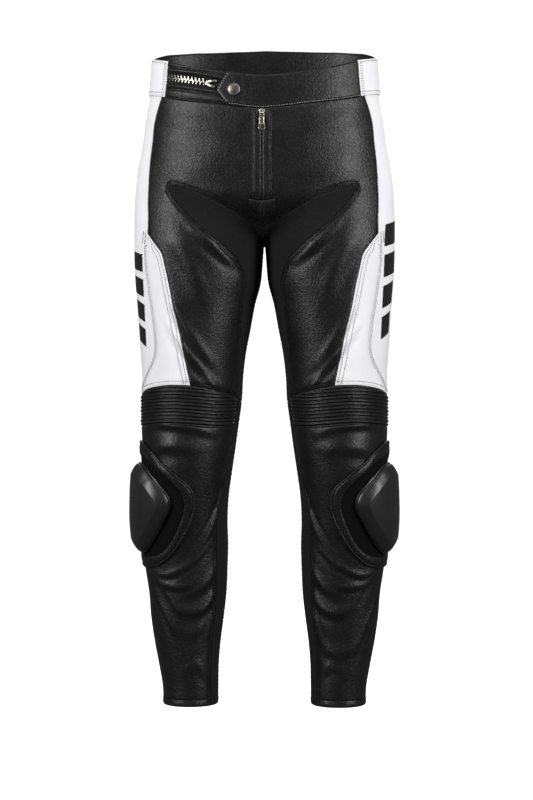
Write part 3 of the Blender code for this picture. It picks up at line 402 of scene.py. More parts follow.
# The stage. A softbox has its place, its size and its power.
CAMERA_TURN = math.radians(2.0)
CAMERA_FAR = 3.0
CAMERA_HEIGHT = -0.50065
CAMERA_ASIDE = 0.0031
CAMERA_LENS = 87.1
FLOOR = -1.09
SOFTBOXES = (
    ("key", (-2.15, -1.7, 0.6), (0.8, 2.0), 70),
    ("fill", (2.25, -1.55, 0.5), (0.8, 2.0), 69),
    ("top", (0.1, -1.3, 1.9), (1.4, 0.5), 8),
    ("back", (0, 2.9, 0.7), (2.4, 1.4), 26),
)
LIT_POINT = (0, 0, -0.4)
AIR_STRENGTH = 0.095
STAGE_RADIUS = 8.0


def along(table, columns, name, z):
    """A table's column at the heights z, by a smooth curve through its rows."""
    heights = np.array([row[0] for row in table], float)[::-1]
    values = np.array([row[columns.index(name)] for row in table], float)[::-1]
    slopes = np.gradient(values, heights)
    z = np.clip(np.asarray(z, float), heights[0], heights[-1])
    i = np.clip(np.searchsorted(heights, z) - 1, 0, len(heights) - 2)
    step = heights[i + 1] - heights[i]
    t = (z - heights[i]) / step
    return (
        (2 * t**3 - 3 * t**2 + 1) * values[i]
        + (t**3 - 2 * t**2 + t) * step * slopes[i]
        + (3 * t**2 - 2 * t**3) * values[i + 1]
        + (t**3 - t**2) * step * slopes[i + 1]
    )


def rounded(value, power):
    return np.sign(value) * np.abs(value) ** power


def torso_point(u, z):
    near = np.minimum(u, 1 - u)
    upright = np.arcsin(np.clip(np.sin(np.pi * near) ** 2, 0, 1))
    angle = (1 - UPRIGHT_SHARE) * np.pi * near + UPRIGHT_SHARE * upright
    angle = np.where(u <= 0.5, angle, np.pi - angle)
    forward = rounded(np.cos(angle), TORSO_SQUARENESS)
    sideways = rounded(np.maximum(np.sin(angle), 0), TORSO_SQUARENESS)
    x = along(TORSO, TORSO_COLUMNS, "half_width", z) * sideways
    front = along(TORSO, TORSO_COLUMNS, "front", z)
    back = along(TORSO, TORSO_COLUMNS, "back", z)
    return x, -forward * np.where(forward > 0, front, back)


def leg_point(u, z):
    inward = rounded(np.cos(2 * np.pi * u), LEG_SQUARENESS)
    forward = rounded(np.sin(2 * np.pi * u), LEG_SQUARENESS)
    outer = along(LEG, LEG_COLUMNS, "outer", z)
    inner = along(LEG, LEG_COLUMNS, "inner", z)
    front = along(LEG, LEG_COLUMNS, "front", z)
    back = along(LEG, LEG_COLUMNS, "back", z)
    x = (outer + inner) / 2 - inward * (outer - inner) / 2
    return x, -forward * np.where(forward > 0, front, back)


def body_point(u, v):
    """Points of the worn form's outer surface, in millimetres."""
    u, v = np.broadcast_arrays(np.asarray(u, float), np.asarray(v, float))
    fall = np.clip((RISE_TOP - v) / (RISE_TOP - CROTCH), 0, 1)
    turn = np.clip(1 - np.minimum(u, 1 - u) / RISE_REACH, 0, 1) ** 2
    drop = (1 - turn) * fall + turn * np.sin(fall * np.pi / 2)
    to_leg = (1 - turn) * fall**2 * (3 - 2 * fall) + turn * (1 - np.cos(fall * np.pi / 2))
    between = (v < RISE_TOP) & (v > CROTCH)
    z = np.where(between, RISE_TOP - (RISE_TOP - CROTCH) * drop, v)
    torso_x, torso_y = torso_point(u, z)
    leg_x, leg_y = leg_point(u, z)
    x = torso_x * (1 - to_leg) + leg_x * to_leg
    x = np.hypot(x, RISE_CLEAR * np.clip(5 * fall, 0, 1))
    y = torso_y * (1 - to_leg) + leg_y * to_leg
    return np.stack([x, y, z], axis=-1)


def unit(vectors):
    return vectors / np.maximum(np.linalg.norm(vectors, axis=-1, keepdims=True), 1e-9)


def outward(u, v):
    u, v = np.broadcast_arrays(np.asarray(u, float), np.asarray(v, float))
    small_u, small_v = 0.004, 2.0
    round_leg = body_point(np.minimum(u + small_u, 1), v) - body_point(np.maximum(u - small_u, 0), v)
    up_leg = body_point(u, v + small_v) - body_point(u, v - small_v)
    return unit(np.cross(round_leg, up_leg))


def off_line(points, line):
    """Distance of flat points from a flat line, on which side of it they lie, and how far along it."""
    line = np.asarray(line, float)
    start, reach = line[:-1], np.diff(line, axis=0)
    lengths = np.maximum(np.linalg.norm(reach, axis=1), 1e-9)
    run = np.concatenate([[0], np.cumsum(lengths)])
    best = np.full(len(points), np.inf)
    sign = np.ones(len(points))
    place = np.zeros(len(points))
    for k, (origin, step) in enumerate(zip(start, reach)):
        away = points - origin
        share = np.clip(away @ step / lengths[k] ** 2, 0, 1)
        gap = np.linalg.norm(away - share[:, None] * step, axis=1)
        closer = gap < best
        best = np.where(closer, gap, best)
        cross = step[0] * away[:, 1] - step[1] * away[:, 0]
        sign = np.where(closer, np.where(cross >= 0, 1.0, -1.0), sign)
        place = np.where(closer, run[k] + share * lengths[k], place)
    return best, sign, place / run[-1]


def bent_line(places):
    """A crease's three points as a smooth flat line."""
    first, middle, last = np.reshape(places, (3, 2)) * (ROUND_MM, 1)
    t = np.linspace(0, 1, 9)[:, None]
    return (1 - t) ** 2 * first + 2 * t * (1 - t) * (2 * middle - (first + last) / 2) + t**2 * last


def creases(u, v, side):
    """How far the creases raise the cloth."""
    flat_points = np.stack([u * ROUND_MM, v], axis=-1)
    rise = np.zeros(len(u))
    trough_off, trough_wide, trough_deep = TROUGH
    for crease_side, *places, width, crest in CREASES:
        line = bent_line(places)
        reach = 4 * width
        low, high = line.min(axis=0) - reach, line.max(axis=0) + reach
        near = np.all((flat_points > low) & (flat_points < high), axis=1)
        here = near & ((side == crease_side) | (crease_side == 0))
        if not here.any():
            continue
        gap, sign, share = off_line(flat_points[here], line)
        swell = np.sin(np.pi * (0.06 + 0.88 * share)) ** 0.8
        ridge = np.exp(-((gap / width) ** 2))
        trough = np.exp(-(((gap * sign - trough_off * width) / (trough_wide * width)) ** 2))
        rise[here] += crest * swell * (ridge - trough_deep * trough)
    edge = np.clip(np.minimum(u, 1 - u) / 0.05, 0, 1)
    return rise * np.where(v < RISE_TOP, edge, 1)


def past_centre(at, end, value, whole):
    """A value, mirrored where at runs past the centre front or past its end at the centre back."""
    return np.where(at < 0, -value, np.where(at > end, 2 * whole - value, value))


def surface(u, v, side=1):
    """Points and outward directions; u may run past the centre front or back to the other side."""
    u, v = np.broadcast_arrays(np.asarray(u, float), np.asarray(v, float))
    here = past_centre(u, 1, u, 1)
    across = np.where((u < 0) | (u > 1), -side, side)
    normal = outward(here, v)
    point = body_point(here, v) + normal * creases(here, v, across)[:, None]
    flip = np.stack([across, np.ones_like(across), np.ones_like(across)], axis=-1)
    return point * flip, normal * flip


def line_at(line, across):
    """The height of a line, or of a table of one, at some places across it."""
    places, heights = np.array(line, float).T
    return np.interp(across, places, heights)


def closed(outline):
    return np.concatenate([outline, outline[:1]])


def run_along(line):
    """How far along a line each of its points lies."""
    return np.concatenate([[0], np.cumsum(np.linalg.norm(np.diff(line, axis=0), axis=1))])


def seam(rows, step=6.0):
    """A seam's flat points in millimetres, evenly spaced between the rows of its table."""
    return softened(dense(np.array(rows, float) * (ROUND_MM, 1), step))


def dense(points, step=4.0):
    """A line with points added so that none lie further apart than a step."""
    points = np.asarray(points, float)
    found = [points[0]]
    for start, end in zip(points[:-1], points[1:]):
        count = max(1, round(float(np.linalg.norm(end - start)) / step))
        found += [start + (end - start) * k / count for k in range(1, count + 1)]
    return np.array(found)


def softened(points, rounds=2):
    """A line with its corners eased, its ends kept."""
    for _ in range(rounds):
        middle = (points[:-2] + 2 * points[1:-1] + points[2:]) / 4
        points = np.concatenate([points[:1], middle, points[-1:]])
    return points


def stretch(points, start, end):
    """The part of a line between two shares of the way round, with both ends on it."""
    at = points[:, 0] / ROUND_MM
    inside = points[(at > start + 0.003) & (at < end - 0.003)]
    first, last = ((share * ROUND_MM, line_at(points, share * ROUND_MM)) for share in (start, end))
    return np.concatenate([[first], inside, [last]])


def upright(at, top, bottom, step=6.0):
    count = max(1, round((top - bottom) / step))
    heights = np.linspace(top, bottom, count + 1)
    return np.column_stack([np.full(count + 1, at * ROUND_MM), heights])


def level(height, start, end, step=6.0):
    count = max(1, round((end - start) * ROUND_MM / step))
    return np.column_stack([np.linspace(start, end, count + 1) * ROUND_MM, np.full(count + 1, height)])


def mirrored(points):
    return points[::-1] * (-1.0, 1.0)


def loop(*lines):
    """One outline from lines that follow on from each other."""
    return np.concatenate([line[:-1] for line in lines])


def seam_lines():
    """The seams of one half, by name."""
    side_top, side_knee, side_ribs = SIDE_HEIGHTS
    return {
        "top": seam(WAIST_TOP),
        "waist": seam(WAIST_SEAM),
        "knee": seam(KNEE_SEAM),
        "ribs_end": seam(RIBS_END),
        "wing_top": seam(WING_TOP),
        "wing_low": seam(WING_LOW, 5.0),
        "stripe_front": seam(STRIPE_FRONT),
        "wedge_front": seam(WEDGE_FRONT),
        "wedge_rear": seam(WEDGE_REAR),
        "calf_upper": seam(CALF_FRONT_UPPER),
        "calf": seam(CALF_FRONT),
        "front": upright(0, FRONT_TOP, WING_START),
        "rise": upright(0, WING_START, KNEE_INSIDE),
        "seat": upright(1, 0, KNEE_INSIDE),
        "inseam": upright(0, KNEE_INSIDE, HEM),
        "inseam_back": upright(1, KNEE_INSIDE, HEM),
        "side": upright(SIDE_ROUND, side_top, side_knee),
        "side_knee": upright(SIDE_ROUND, side_knee, side_ribs),
        "side_calf": upright(SIDE_ROUND, side_ribs, HEM),
        "hem": level(HEM, 0, 1),
    }


LINES = seam_lines()


class Piece:
    """One cut of cloth: its outline on the flat, how it lies, and the rows of stitches along its seams."""

    def __init__(
        self, name, outline, side, rise, thick, rows=(), chart=None, extra=None, dent=STITCH_DENT
    ):
        self.name = name
        self.side = side
        self.rise = rise
        self.thick = thick
        self.chart = chart or to_body
        self.extra = extra
        self.dent = dent
        to_flat = np.asarray if chart else to_cloth
        self.outline = to_flat(outline)
        self.rows = [(to_flat(line), offsets) for line, offsets in rows]

    def height(self, points):
        """How far each flat point stands above the worn form."""
        edge, _, _ = off_line(points, closed(self.outline))
        rise = self.rise(points) if callable(self.rise) else np.full(len(points), float(self.rise))
        roll = np.clip(1 - edge / EDGE_ROLL, 0, 1) ** 2
        rise = rise - EDGE_DEPTH * self.dent / STITCH_DENT * min(1, self.thick / 2) * roll
        rise = rise - self.dent * self.furrow(points)
        return rise + self.extra(points) if self.extra else rise

    def furrow(self, points):
        """How deep each flat point lies in the channel of a row of stitches, from 0 to 1."""
        found = np.zeros(len(points))
        for line, offsets in self.rows:
            gap, _, share = off_line(points, line)
            pucker = 0.75 + 0.25 * np.cos(share * len(line) * PUCKERS)
            for offset in offsets:
                found = np.maximum(found, pucker * np.exp(-(((gap - offset) / STITCH_DENT_WIDE) ** 2)))
        return found

    def lay(self, points):
        """Flat points laid on the worn form in millimetres, with the outward directions there."""
        place = self.chart(points)
        spots, normals = surface(place[:, 0], place[:, 1], self.side)
        spots = spots + normals * self.height(points)[:, None]
        own_half = (place[:, 0] >= 0) & (place[:, 0] <= 1)
        past_middle = own_half & (self.side * spots[:, 0] < HALVES_MEET)
        spots[:, 0] = np.where(past_middle, 0.0, spots[:, 0])
        return spots, normals


def arc_table():
    """The way round the worn form at each height, and the part of it that each share covers."""
    shares = np.linspace(0, 1, ARC_SHARES)
    heights = np.arange(HEM - 10, 80, ARC_STEP)
    rows = []
    for height in heights:
        points = body_point(shares, np.full(ARC_SHARES, height))
        rows.append(run_along(points))
    rows = np.array(rows)
    return shares, heights, rows[:, -1], rows / rows[:, -1:]


SHARES, HEIGHTS, WHOLES, PARTS = arc_table()


def at_heights(heights, values_at):
    """A value between the two rows of the arc table that a height lies between."""
    where = np.clip((heights - HEIGHTS[0]) / ARC_STEP, 0, len(HEIGHTS) - 1.001)
    low = where.astype(int)
    found = np.zeros(len(heights))
    for row in np.unique(low):
        here = low == row
        part = where[here] - row
        found[here] = (1 - part) * values_at(row, here) + part * values_at(row + 1, here)
    return found


def to_cloth(points):
    """Shares of the way round, times 620, and heights as real millimetres on the flat cloth."""
    points = np.asarray(points, float)
    shares, heights = points[:, 0] / ROUND_MM, points[:, 1]
    here = past_centre(shares, 1, shares, 1)
    whole = np.interp(heights, HEIGHTS, WHOLES)
    arc = whole * at_heights(heights, lambda row, chosen: np.interp(here[chosen], SHARES, PARTS[row]))
    return np.column_stack([past_centre(shares, 1, arc, whole), heights])


def to_body(points):
    """Flat cloth millimetres as shares of the way round and heights. Only the bands cross the centre."""
    arcs, heights = points[:, 0], points[:, 1]
    whole = np.interp(heights, HEIGHTS, WHOLES)
    arcs = np.where(heights < BAND_FOOT, np.clip(arcs, 0, whole), arcs)
    here = past_centre(arcs, whole, arcs, whole) / whole
    share = at_heights(heights, lambda row, chosen: np.interp(here[chosen], PARTS[row], SHARES))
    return np.column_stack([past_centre(arcs, whole, share, 1), heights])


def inside_loop(points, outline):
    """Which points lie inside a closed outline, by how often a level line crosses it."""
    found = np.zeros(len(points), bool)
    for start, end in zip(outline, np.roll(outline, -1, axis=0)):
        spans = (start[1] > points[:, 1]) != (end[1] > points[:, 1])
        run = (end[0] - start[0]) * (points[:, 1] - start[1]) / ((end[1] - start[1]) or 1e-9)
        found ^= spans & (points[:, 0] < start[0] + run)
    return found


def cut_flat(outline, rings=EDGE_RINGS, step=(CUT_STEP, CUT_STEP), levels=()):
    """A flat face over an outline, with rings of edges along its seams and a grid of cuts inside."""
    body = bmesh.new()
    middle = body.faces.new([body.verts.new((x, y, 0)) for x, y in outline])
    middle.normal_update()
    if middle.normal.z < 0:
        middle.normal_flip()
    for count, width in enumerate((SEAM_INSET, *rings)):
        ring = bmesh.ops.inset_region(
            body, faces=[middle], thickness=width, use_boundary=True, use_even_offset=False
        )
        if count == 0:
            bmesh.ops.delete(body, geom=ring["faces"], context="FACES")
    geometry = [middle, *middle.edges, *middle.verts]
    low, high = outline.min(axis=0), outline.max(axis=0)
    for axis, size in enumerate(step):
        for at in (*np.arange(low[axis] + size * 0.47, high[axis], size), *(levels if axis else ())):
            found = bmesh.ops.bisect_plane(
                body,
                geom=geometry,
                dist=0.0005,
                plane_co=(at, 0, 0) if axis == 0 else (0, at, 0),
                plane_no=(1, 0, 0) if axis == 0 else (0, 1, 0),
            )
            geometry = found["geom"]
    keep_inside(body, outline)
    return body


def keep_inside(body, outline):
    """Pulls what the rings pushed past a sharp corner back to the outline, and drops the folds there."""
    points = np.array([vert.co[:2] for vert in body.verts])
    line = closed(outline)
    lengths = run_along(line)
    _, _, share = off_line(points, line)
    outside = ~inside_loop(points, outline)
    for vert, out, at in zip(body.verts, outside, share * lengths[-1]):
        if out:
            vert.co.x, vert.co.y = (float(np.interp(at, lengths, line[:, k])) for k in (0, 1))
    for face in body.faces:
        face.normal_update()
    folds = [face for face in body.faces if face.normal.z <= 0]
    bmesh.ops.delete(body, geom=folds, context="FACES")


def finish_mesh(name, body, material, smooth=True, moves_with=GARMENT):
    """An object from a bmesh that is in metres and in place."""
    mesh = bpy.data.meshes.new(name)
    body.to_mesh(mesh)
    body.free()
    mesh.materials.append(bpy.data.materials[CLOTHS.get(material, material)])
    mesh.polygons.foreach_set("use_smooth", [smooth] * len(mesh.polygons))
    made = bpy.data.objects.new(name, mesh)
    bpy.context.scene.collection.objects.link(made)
    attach(made, moves_with)
    return made


def smallest_box(outline):
    """An outline turned so that the box round it is smallest, and the matrix that turns it back."""
    found = []
    for turn in np.radians(np.arange(0, 90, 3)):
        matrix = np.array([[np.cos(turn), -np.sin(turn)], [np.sin(turn), np.cos(turn)]])
        found.append((np.prod(np.ptp(outline @ matrix, axis=0)), turn, matrix))
    matrix = min(found, key=lambda row: row[:2])[2]
    return outline @ matrix, matrix.T


def cut_size(piece):
    """The widest run across a piece and the run down its middle, on the cloth, in metres."""
    turned, back = smallest_box(piece.outline)
    ends = np.roll(turned, -1, axis=0)
    low, high = turned.min(axis=0), turned.max(axis=0)
    widths, middles = [], []
    for height in np.linspace(low[1] + 1, high[1] - 1, 12):
        found = turned[(turned[:, 1] > height) != (ends[:, 1] > height), 0]
        across = np.linspace(found.min(), found.max(), 24)
        line, _ = piece.lay(np.column_stack([across, np.full(24, height)]) @ back)
        widths.append(np.linalg.norm(np.diff(line, axis=0), axis=1).sum())
        middles.append(line[12])
    length = np.linalg.norm(np.diff(middles, axis=0), axis=1).sum()
    return max(widths) * MM, length * MM


def lay_out(body, piece):
    """Lays a flat cut on the worn form, its faces outwards."""
    laid, _ = piece.lay(np.array([vert.co[:2] for vert in body.verts]))
    for vert, spot in zip(body.verts, laid):
        vert.co = Vector(spot) * MM
    if piece.side < 0:
        bmesh.ops.reverse_faces(body, faces=body.faces)


def give_wall(made, thick):
    """Gives cloth its thickness, inwards."""
    wall = made.modifiers.new("thickness", "SOLIDIFY")
    wall.thickness = thick * MM
    wall.offset = -1


def sew(piece, material, rings=EDGE_RINGS, step=(CUT_STEP, CUT_STEP), levels=()):
    """Cuts a piece, lays it on the form, gives it its thickness and lets it stand for its CAD node."""
    body = cut_flat(piece.outline, rings, step, levels)
    flat_points = np.array([vert.co[:2] for vert in body.verts])
    layer = body.loops.layers.uv.new("cloth")
    for face in body.faces:
        for corner in face.loops:
            corner[layer].uv = corner.vert.co.xy * MM
    near, _, _ = off_line(flat_points, closed(piece.outline))
    # Masks for painted light: near a cut edge, wear with a painted highlight on black leather and painted
    # shade on white; in the stitch channels, painted shade
    channels = piece.furrow(flat_points) * (piece.dent == STITCH_DENT)
    wear_and_painted_light, furrow = (body.verts.layers.float.new(name) for name in ("wear_and_painted_light", "furrow"))
    for vert, gap, channel in zip(body.verts, near, channels):
        vert[wear_and_painted_light] = max(0.0, 1 - gap / WEAR_AND_PAINTED_LIGHT_REACH)
        vert[furrow] = channel
    lay_out(body, piece)
    area = sum(face.calc_area() for face in body.faces)
    made = finish_mesh(f"{piece.name}_cloth", body, material)
    give_wall(made, piece.thick)
    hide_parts(piece.name)
    wide, long = cut_size(piece)
    if area < CURVED_SHARE * wide * long:
        long = area / wide / CURVED_FILL
    return made


def add_stitches(body, spots, forwards, normals, lift):
    """Stitches at some spots, each a grain of thread lying forwards and lifted by a share of its radius."""
    thread = bpy.context.scene.pants_sewing
    radius = thread.radius / MM
    sideways = unit(np.cross(normals, forwards))
    upwards = np.cross(forwards, sideways)
    size = Matrix.Diagonal((thread.length / MM / 2, radius, radius, 1))
    for spot, *axes in zip(spots + upwards * radius * lift, forwards, sideways, upwards):
        turned = Matrix(axes).transposed().to_4x4()
        place = Matrix.Scale(MM, 4) @ Matrix.Translation(spot) @ turned @ size
        bmesh.ops.create_icosphere(body, subdivisions=1, radius=1, matrix=place)


def stitch_row(body, piece, line, offset):
    """Adds a row of stitches, at an offset from a seam, standing on the piece's own cloth."""
    step = np.gradient(line, axis=0)
    normal = unit(np.column_stack([-step[:, 1], step[:, 0]]))
    middle = len(line) // 2
    if not inside_loop((line + normal * offset)[middle : middle + 1], piece.outline)[0]:
        normal = -normal
    row = line + normal * offset
    pitch = bpy.context.scene.pants_sewing.pitch / MM
    lengths = run_along(row)
    at = np.arange(pitch, lengths[-1] - pitch / 2, pitch)
    if not len(at):
        return
    centre, ahead = (
        np.column_stack([np.interp(at + more, lengths, row[:, k]) for k in (0, 1)]) for more in (0, 0.5)
    )
    edge, _, _ = off_line(centre, closed(piece.outline))
    kept = inside_loop(centre, piece.outline) & (edge > 0.8 * min(offset, 2.0))
    centre, ahead = centre[kept], ahead[kept]
    if not len(centre):
        return
    laid, normals = piece.lay(centre)
    further, _ = piece.lay(ahead)
    add_stitches(body, laid, unit(further - laid), normals, STITCH_SHOWS)


def sew_rows(name, pieces, material):
    """The rows of stitches on some pieces, as one object."""
    body = bmesh.new()
    for piece in pieces:
        for line, offsets in piece.rows:
            for offset in offsets:
                stitch_row(body, piece, line, offset)
    return finish_mesh(name, body, material)


def lofted(rings, closed=False):
    """A wall through rings of points: a circle's edges extruded from ring to ring, and closed."""
    body = bmesh.new()
    count = len(rings[0])
    bmesh.ops.create_circle(body, cap_ends=False, segments=count, radius=1)
    body.verts.ensure_lookup_table()
    ring_verts = list(body.verts)
    for vert, spot in zip(ring_verts, rings[0]):
        vert.co = Vector(spot) * MM
    first_edges = edges = list(body.edges)
    for ring in rings[1:]:
        order = {vert.co.copy().freeze(): k for k, vert in enumerate(ring_verts)}
        made = bmesh.ops.extrude_edge_only(body, edges=edges)["geom"]
        edges = [part for part in made if isinstance(part, bmesh.types.BMEdge)]
        fresh = [part for part in made if isinstance(part, bmesh.types.BMVert)]
        ring_verts = sorted(fresh, key=lambda vert: order[vert.co.copy().freeze()])
        for vert, spot in zip(ring_verts, ring):
            vert.co = Vector(spot) * MM
    if closed:
        bmesh.ops.bridge_loops(body, edges=first_edges + edges)
    else:
        for rim in (first_edges, edges):
            bmesh.ops.contextual_create(body, geom=rim)
    bmesh.ops.recalc_face_normals(body, faces=body.faces)
    return body


def even_rim(rows, size=1.0):
    """A closed rim as evenly spaced points about the slider's centre, its corners eased."""
    centre = np.array([SLIDER_ROUND * ROUND_MM, SLIDER_HEIGHT])
    rows = np.array(rows, float) * (ROUND_MM, 1) - centre
    angles = np.unwrap(np.arctan2(rows[:, 1], rows[:, 0]))
    reach = np.linalg.norm(rows, axis=1)
    order = np.argsort(angles)
    at = angles.min() + 2 * np.pi * np.arange(RIM_POINTS) / RIM_POINTS
    far = np.interp(at, angles[order], reach[order], period=2 * np.pi)
    for _ in range(RIM_EASING):
        far = (np.roll(far, 1) + 2 * far + np.roll(far, -1)) / 4
    return centre + size * np.column_stack([np.cos(at), np.sin(at)]) * far[:, None]


def raised(points, rise, side):
    """A ring of points in millimetres round and up, raised above the worn form."""
    spots, normals = surface(points[:, 0] / ROUND_MM, points[:, 1], side)
    return spots + normals * rise


def from_centre(points):
    """Points given in millimetres from the centre front, as millimetres round and heights."""
    points = np.asarray(points, float)
    share = points[:, 0] / ROUND_MM
    for _ in range(8):
        across = body_point(share, points[:, 1])[:, 0]
        share = share * points[:, 0] / np.maximum(across, 1e-6)
    return np.column_stack([share * ROUND_MM, points[:, 1]])


def arc_corner(middle, radius, start, end, count=6):
    """Points of a rounded corner, between two directions in degrees."""
    turn = np.radians(np.linspace(start, end, count))
    return np.column_stack([middle[0] + radius * np.cos(turn), middle[1] + radius * np.sin(turn)])


def hem_fold(points):
    """The turned hem stands a little proud below its row of stitches."""
    return HEM_PROUD * np.clip((HEM + HEM_TURN - points[:, 1]) / HEM_EASE, 0, 1)


def half(side, hand):
    """The panels of one half with their finishes: the seams round each and the rows of stitches on it."""
    line = LINES
    knee, waist, hem = line["knee"], line["waist"], line["hem"]
    wedge_front, wedge_back = WEDGE_FOOT
    knee_inner = stretch(knee, 0, INNER_KNEE)
    knee_front = stretch(knee, INNER_KNEE, wedge_front)
    knee_wedge = stretch(knee, wedge_front, wedge_back)
    knee_stripe = stretch(knee, wedge_back, SIDE_ROUND)
    knee_back = stretch(knee, SIDE_ROUND, 1)
    hem_inner, hem_front = stretch(hem, 0, INNER_HEM), stretch(hem, INNER_HEM, SIDE_ROUND)
    hem_back = stretch(hem, SIDE_ROUND, 1)
    waist_front, waist_stripe = stretch(waist, 0, STRIPE_TOP), stretch(waist, STRIPE_TOP, SIDE_ROUND)
    waist_back = stretch(waist, SIDE_ROUND, 1)
    calf = np.concatenate([line["calf_upper"][:-1], line["calf"]])
    front_seams = (line["front"], line["wing_top"], line["wing_low"], knee_front)
    front_seams += (line["wedge_front"][::-1], line["stripe_front"][::-1], waist_front[::-1])
    stripe_seams = (line["stripe_front"], line["wedge_rear"], knee_stripe)
    stripe_seams += (line["side"][::-1], waist_stripe[::-1])
    calf_seams = (line["side_knee"], line["side_calf"], hem_back, line["inseam_back"][::-1], knee_back[::-1])
    cuts = (
        (
            "front_panel",
            "black_leather",
            front_seams,
            (
                (line["wing_top"], TWO_ROWS),
                (line["wing_low"], TWO_ROWS),
                (knee_front, TWO_ROWS),
                (line["stripe_front"], ONE_ROW),
            ),
        ),
        (
            "crotch_panel",
            "stretch_textile",
            (line["rise"], knee_inner, line["wing_low"][::-1], line["wing_top"][::-1]),
            ((knee_inner, ONE_ROW), (line["rise"], ONE_ROW)),
        ),
        (
            "thigh_wedge",
            "white_leather",
            (line["wedge_front"], knee_wedge, line["wedge_rear"][::-1]),
            ((line["wedge_front"], WEDGE_ROWS), (knee_wedge, WHITE_ROW)),
        ),
        (
            "side_stripe",
            "white_leather",
            stripe_seams,
            ((line["wedge_rear"], TWO_ROWS), (knee_stripe, WHITE_ROW), (line["side"], ONE_ROW)),
        ),
        (
            "back_panel",
            "black_leather",
            (line["side"], knee_back, line["seat"][::-1], waist_back[::-1]),
            ((line["side"], TWO_ROWS), (line["seat"], TWO_ROWS), (knee_back, TWO_ROWS)),
        ),
        (
            "inner_calf_panel",
            "stretch_textile",
            (line["inseam"], hem_inner, calf[::-1], knee_inner[::-1]),
            ((hem_inner, (HEM_TURN,)), (knee_inner, ONE_ROW)),
        ),
        (
            "shin_panel",
            "black_leather",
            (line["calf"], hem_front, line["side_calf"][::-1], line["ribs_end"][::-1]),
            (
                (line["calf"], TWO_ROWS),
                (hem_front, (HEM_TURN,)),
                (line["ribs_end"], ONE_ROW),
                (line["side_calf"], TWO_ROWS),
            ),
        ),
        (
            "calf_panel",
            "black_leather",
            calf_seams,
            (
                (line["side_calf"], ONE_ROW),
                (hem_back, (HEM_TURN,)),
                (line["inseam_back"], TWO_ROWS),
                (knee_back, ONE_ROW),
            ),
        ),
    )
    cloth = bpy.context.scene.pants_leather
    pieces = []
    for name, finish, seams, rows in cuts:
        thick = cloth.textile_thick if finish == "stretch_textile" else cloth.leather_thick
        dent = WHITE_DENT if finish == "white_leather" else STITCH_DENT
        outline = loop(*seams)
        piece = Piece(f"{name}_{hand}", outline, side, 0.0, thick / MM, rows, extra=hem_fold, dent=dent)
        pieces.append((piece, finish))
    return pieces


def ribs_piece(side, hand):
    """The ribbed leather above the kneecap, flat on a chart of its own. Its ribs follow its lower edge."""
    top, bottom = stretch(LINES["knee"], INNER_KNEE, SIDE_ROUND), LINES["ribs_end"]
    wide = SIDE_ROUND * ROUND_MM

    def chart(points):
        share = -points[:, 1] / RIBS_DEPTH
        first = INNER_KNEE + (INNER_RIBS_END - INNER_KNEE) * share
        across = first + points[:, 0] / ROUND_MM * (SIDE_ROUND - first) / SIDE_ROUND
        high, low = line_at(top, across * ROUND_MM), line_at(bottom, across * ROUND_MM)
        return np.column_stack([across, high + (low - high) * share])

    def crests(points):
        across, height = chart(points).T
        ribs = (height - line_at(bottom, across * ROUND_MM)) / RIB_PITCH
        ends = np.minimum(points[:, 0], wide - points[:, 0])
        sway = 0.9 + 0.16 * np.sin(points[:, 0] * 0.043 + np.floor(ribs) * 1.9)
        return RIB_HEIGHT * sway * np.sin(np.pi * (ribs % 1)) ** 0.7 * np.clip(ends / RIB_ENDS, 0, 1)

    outline = dense([(0, 0), (0, -RIBS_DEPTH), (wide, -RIBS_DEPTH), (wide, 0), (0, 0)], 5)[:-1]
    thick = bpy.context.scene.pants_leather.leather_thick / MM
    return Piece(f"knee_expander_{hand}", outline, side, RIB_FOOT, thick, (), chart, crests)


def waist_pieces():
    """The front band with its tab, the white side bands and the back band."""
    waist, top = LINES["waist"] - (0, WAIST_LAP), LINES["top"]
    upper, lower = (np.array(corner) * (ROUND_MM, 1) for corner in TAB_CORNERS)
    lower = lower - (0, WAIST_LAP)
    point = np.array(TAB_POINT) * (ROUND_MM, 1)
    front_edge, back_edge = (
        dense([(at * ROUND_MM, line_at(WAIST_SEAM, at) - WAIST_LAP), (at * ROUND_MM, line_at(WAIST_TOP, at))])
        for at in (BAND_SIDE_FRONT, BAND_SIDE_BACK)
    )
    tab_low = mirrored(stretch(waist, 0, -TAB_CORNERS[1][0]))
    tab_high = mirrored(stretch(top, 0, -TAB_CORNERS[0][0]))
    tab = dense([upper, point, lower])
    tab_edge = softened(tab, 1)
    low_front = np.concatenate([tab_low[:-1], stretch(waist, 0, BAND_SIDE_FRONT)])
    high_front = stretch(top, 0, BAND_SIDE_FRONT)[::-1]
    front = loop(low_front, front_edge, high_front, tab_high[::-1], tab_edge)
    front_rows = ((low_front, ONE_ROW), (tab_edge, ONE_ROW))
    pieces = [Piece("waistband_front", front, 1, band_rise, BAND_LEATHER, front_rows)]
    low, high = (stretch(line, BAND_SIDE_FRONT, BAND_SIDE_BACK) for line in (waist, top))
    outline = loop(low, back_edge, high[::-1], front_edge[::-1])
    rows = ((front_edge, SIDE_BAND_ROWS), (back_edge, SIDE_BAND_ROWS), (low, (6.0,)), (high, (3.2,)))
    sides = []
    for side, hand in SIDES:
        name = f"waist_side_{hand}"
        sides.append(Piece(name, outline, side, SIDE_BAND_RISE, BAND_LEATHER, rows, dent=WHITE_DENT))
    past = np.array([2.0 * ROUND_MM, 0.0])
    low_back, high_back = stretch(waist, BAND_SIDE_BACK, 1), stretch(top, BAND_SIDE_BACK, 1)
    back_low = np.concatenate([low_back[:-1], past + mirrored(low_back)])
    back = loop(
        back_low,
        past + mirrored(back_edge)[::-1],
        (past + mirrored(high_back))[::-1],
        high_back[::-1],
        back_edge[::-1],
    )
    pieces.append(Piece("waistband_back", back, 1, BAND_RISE, BAND_LEATHER, ((back_low, ONE_ROW),)))
    return pieces, sides


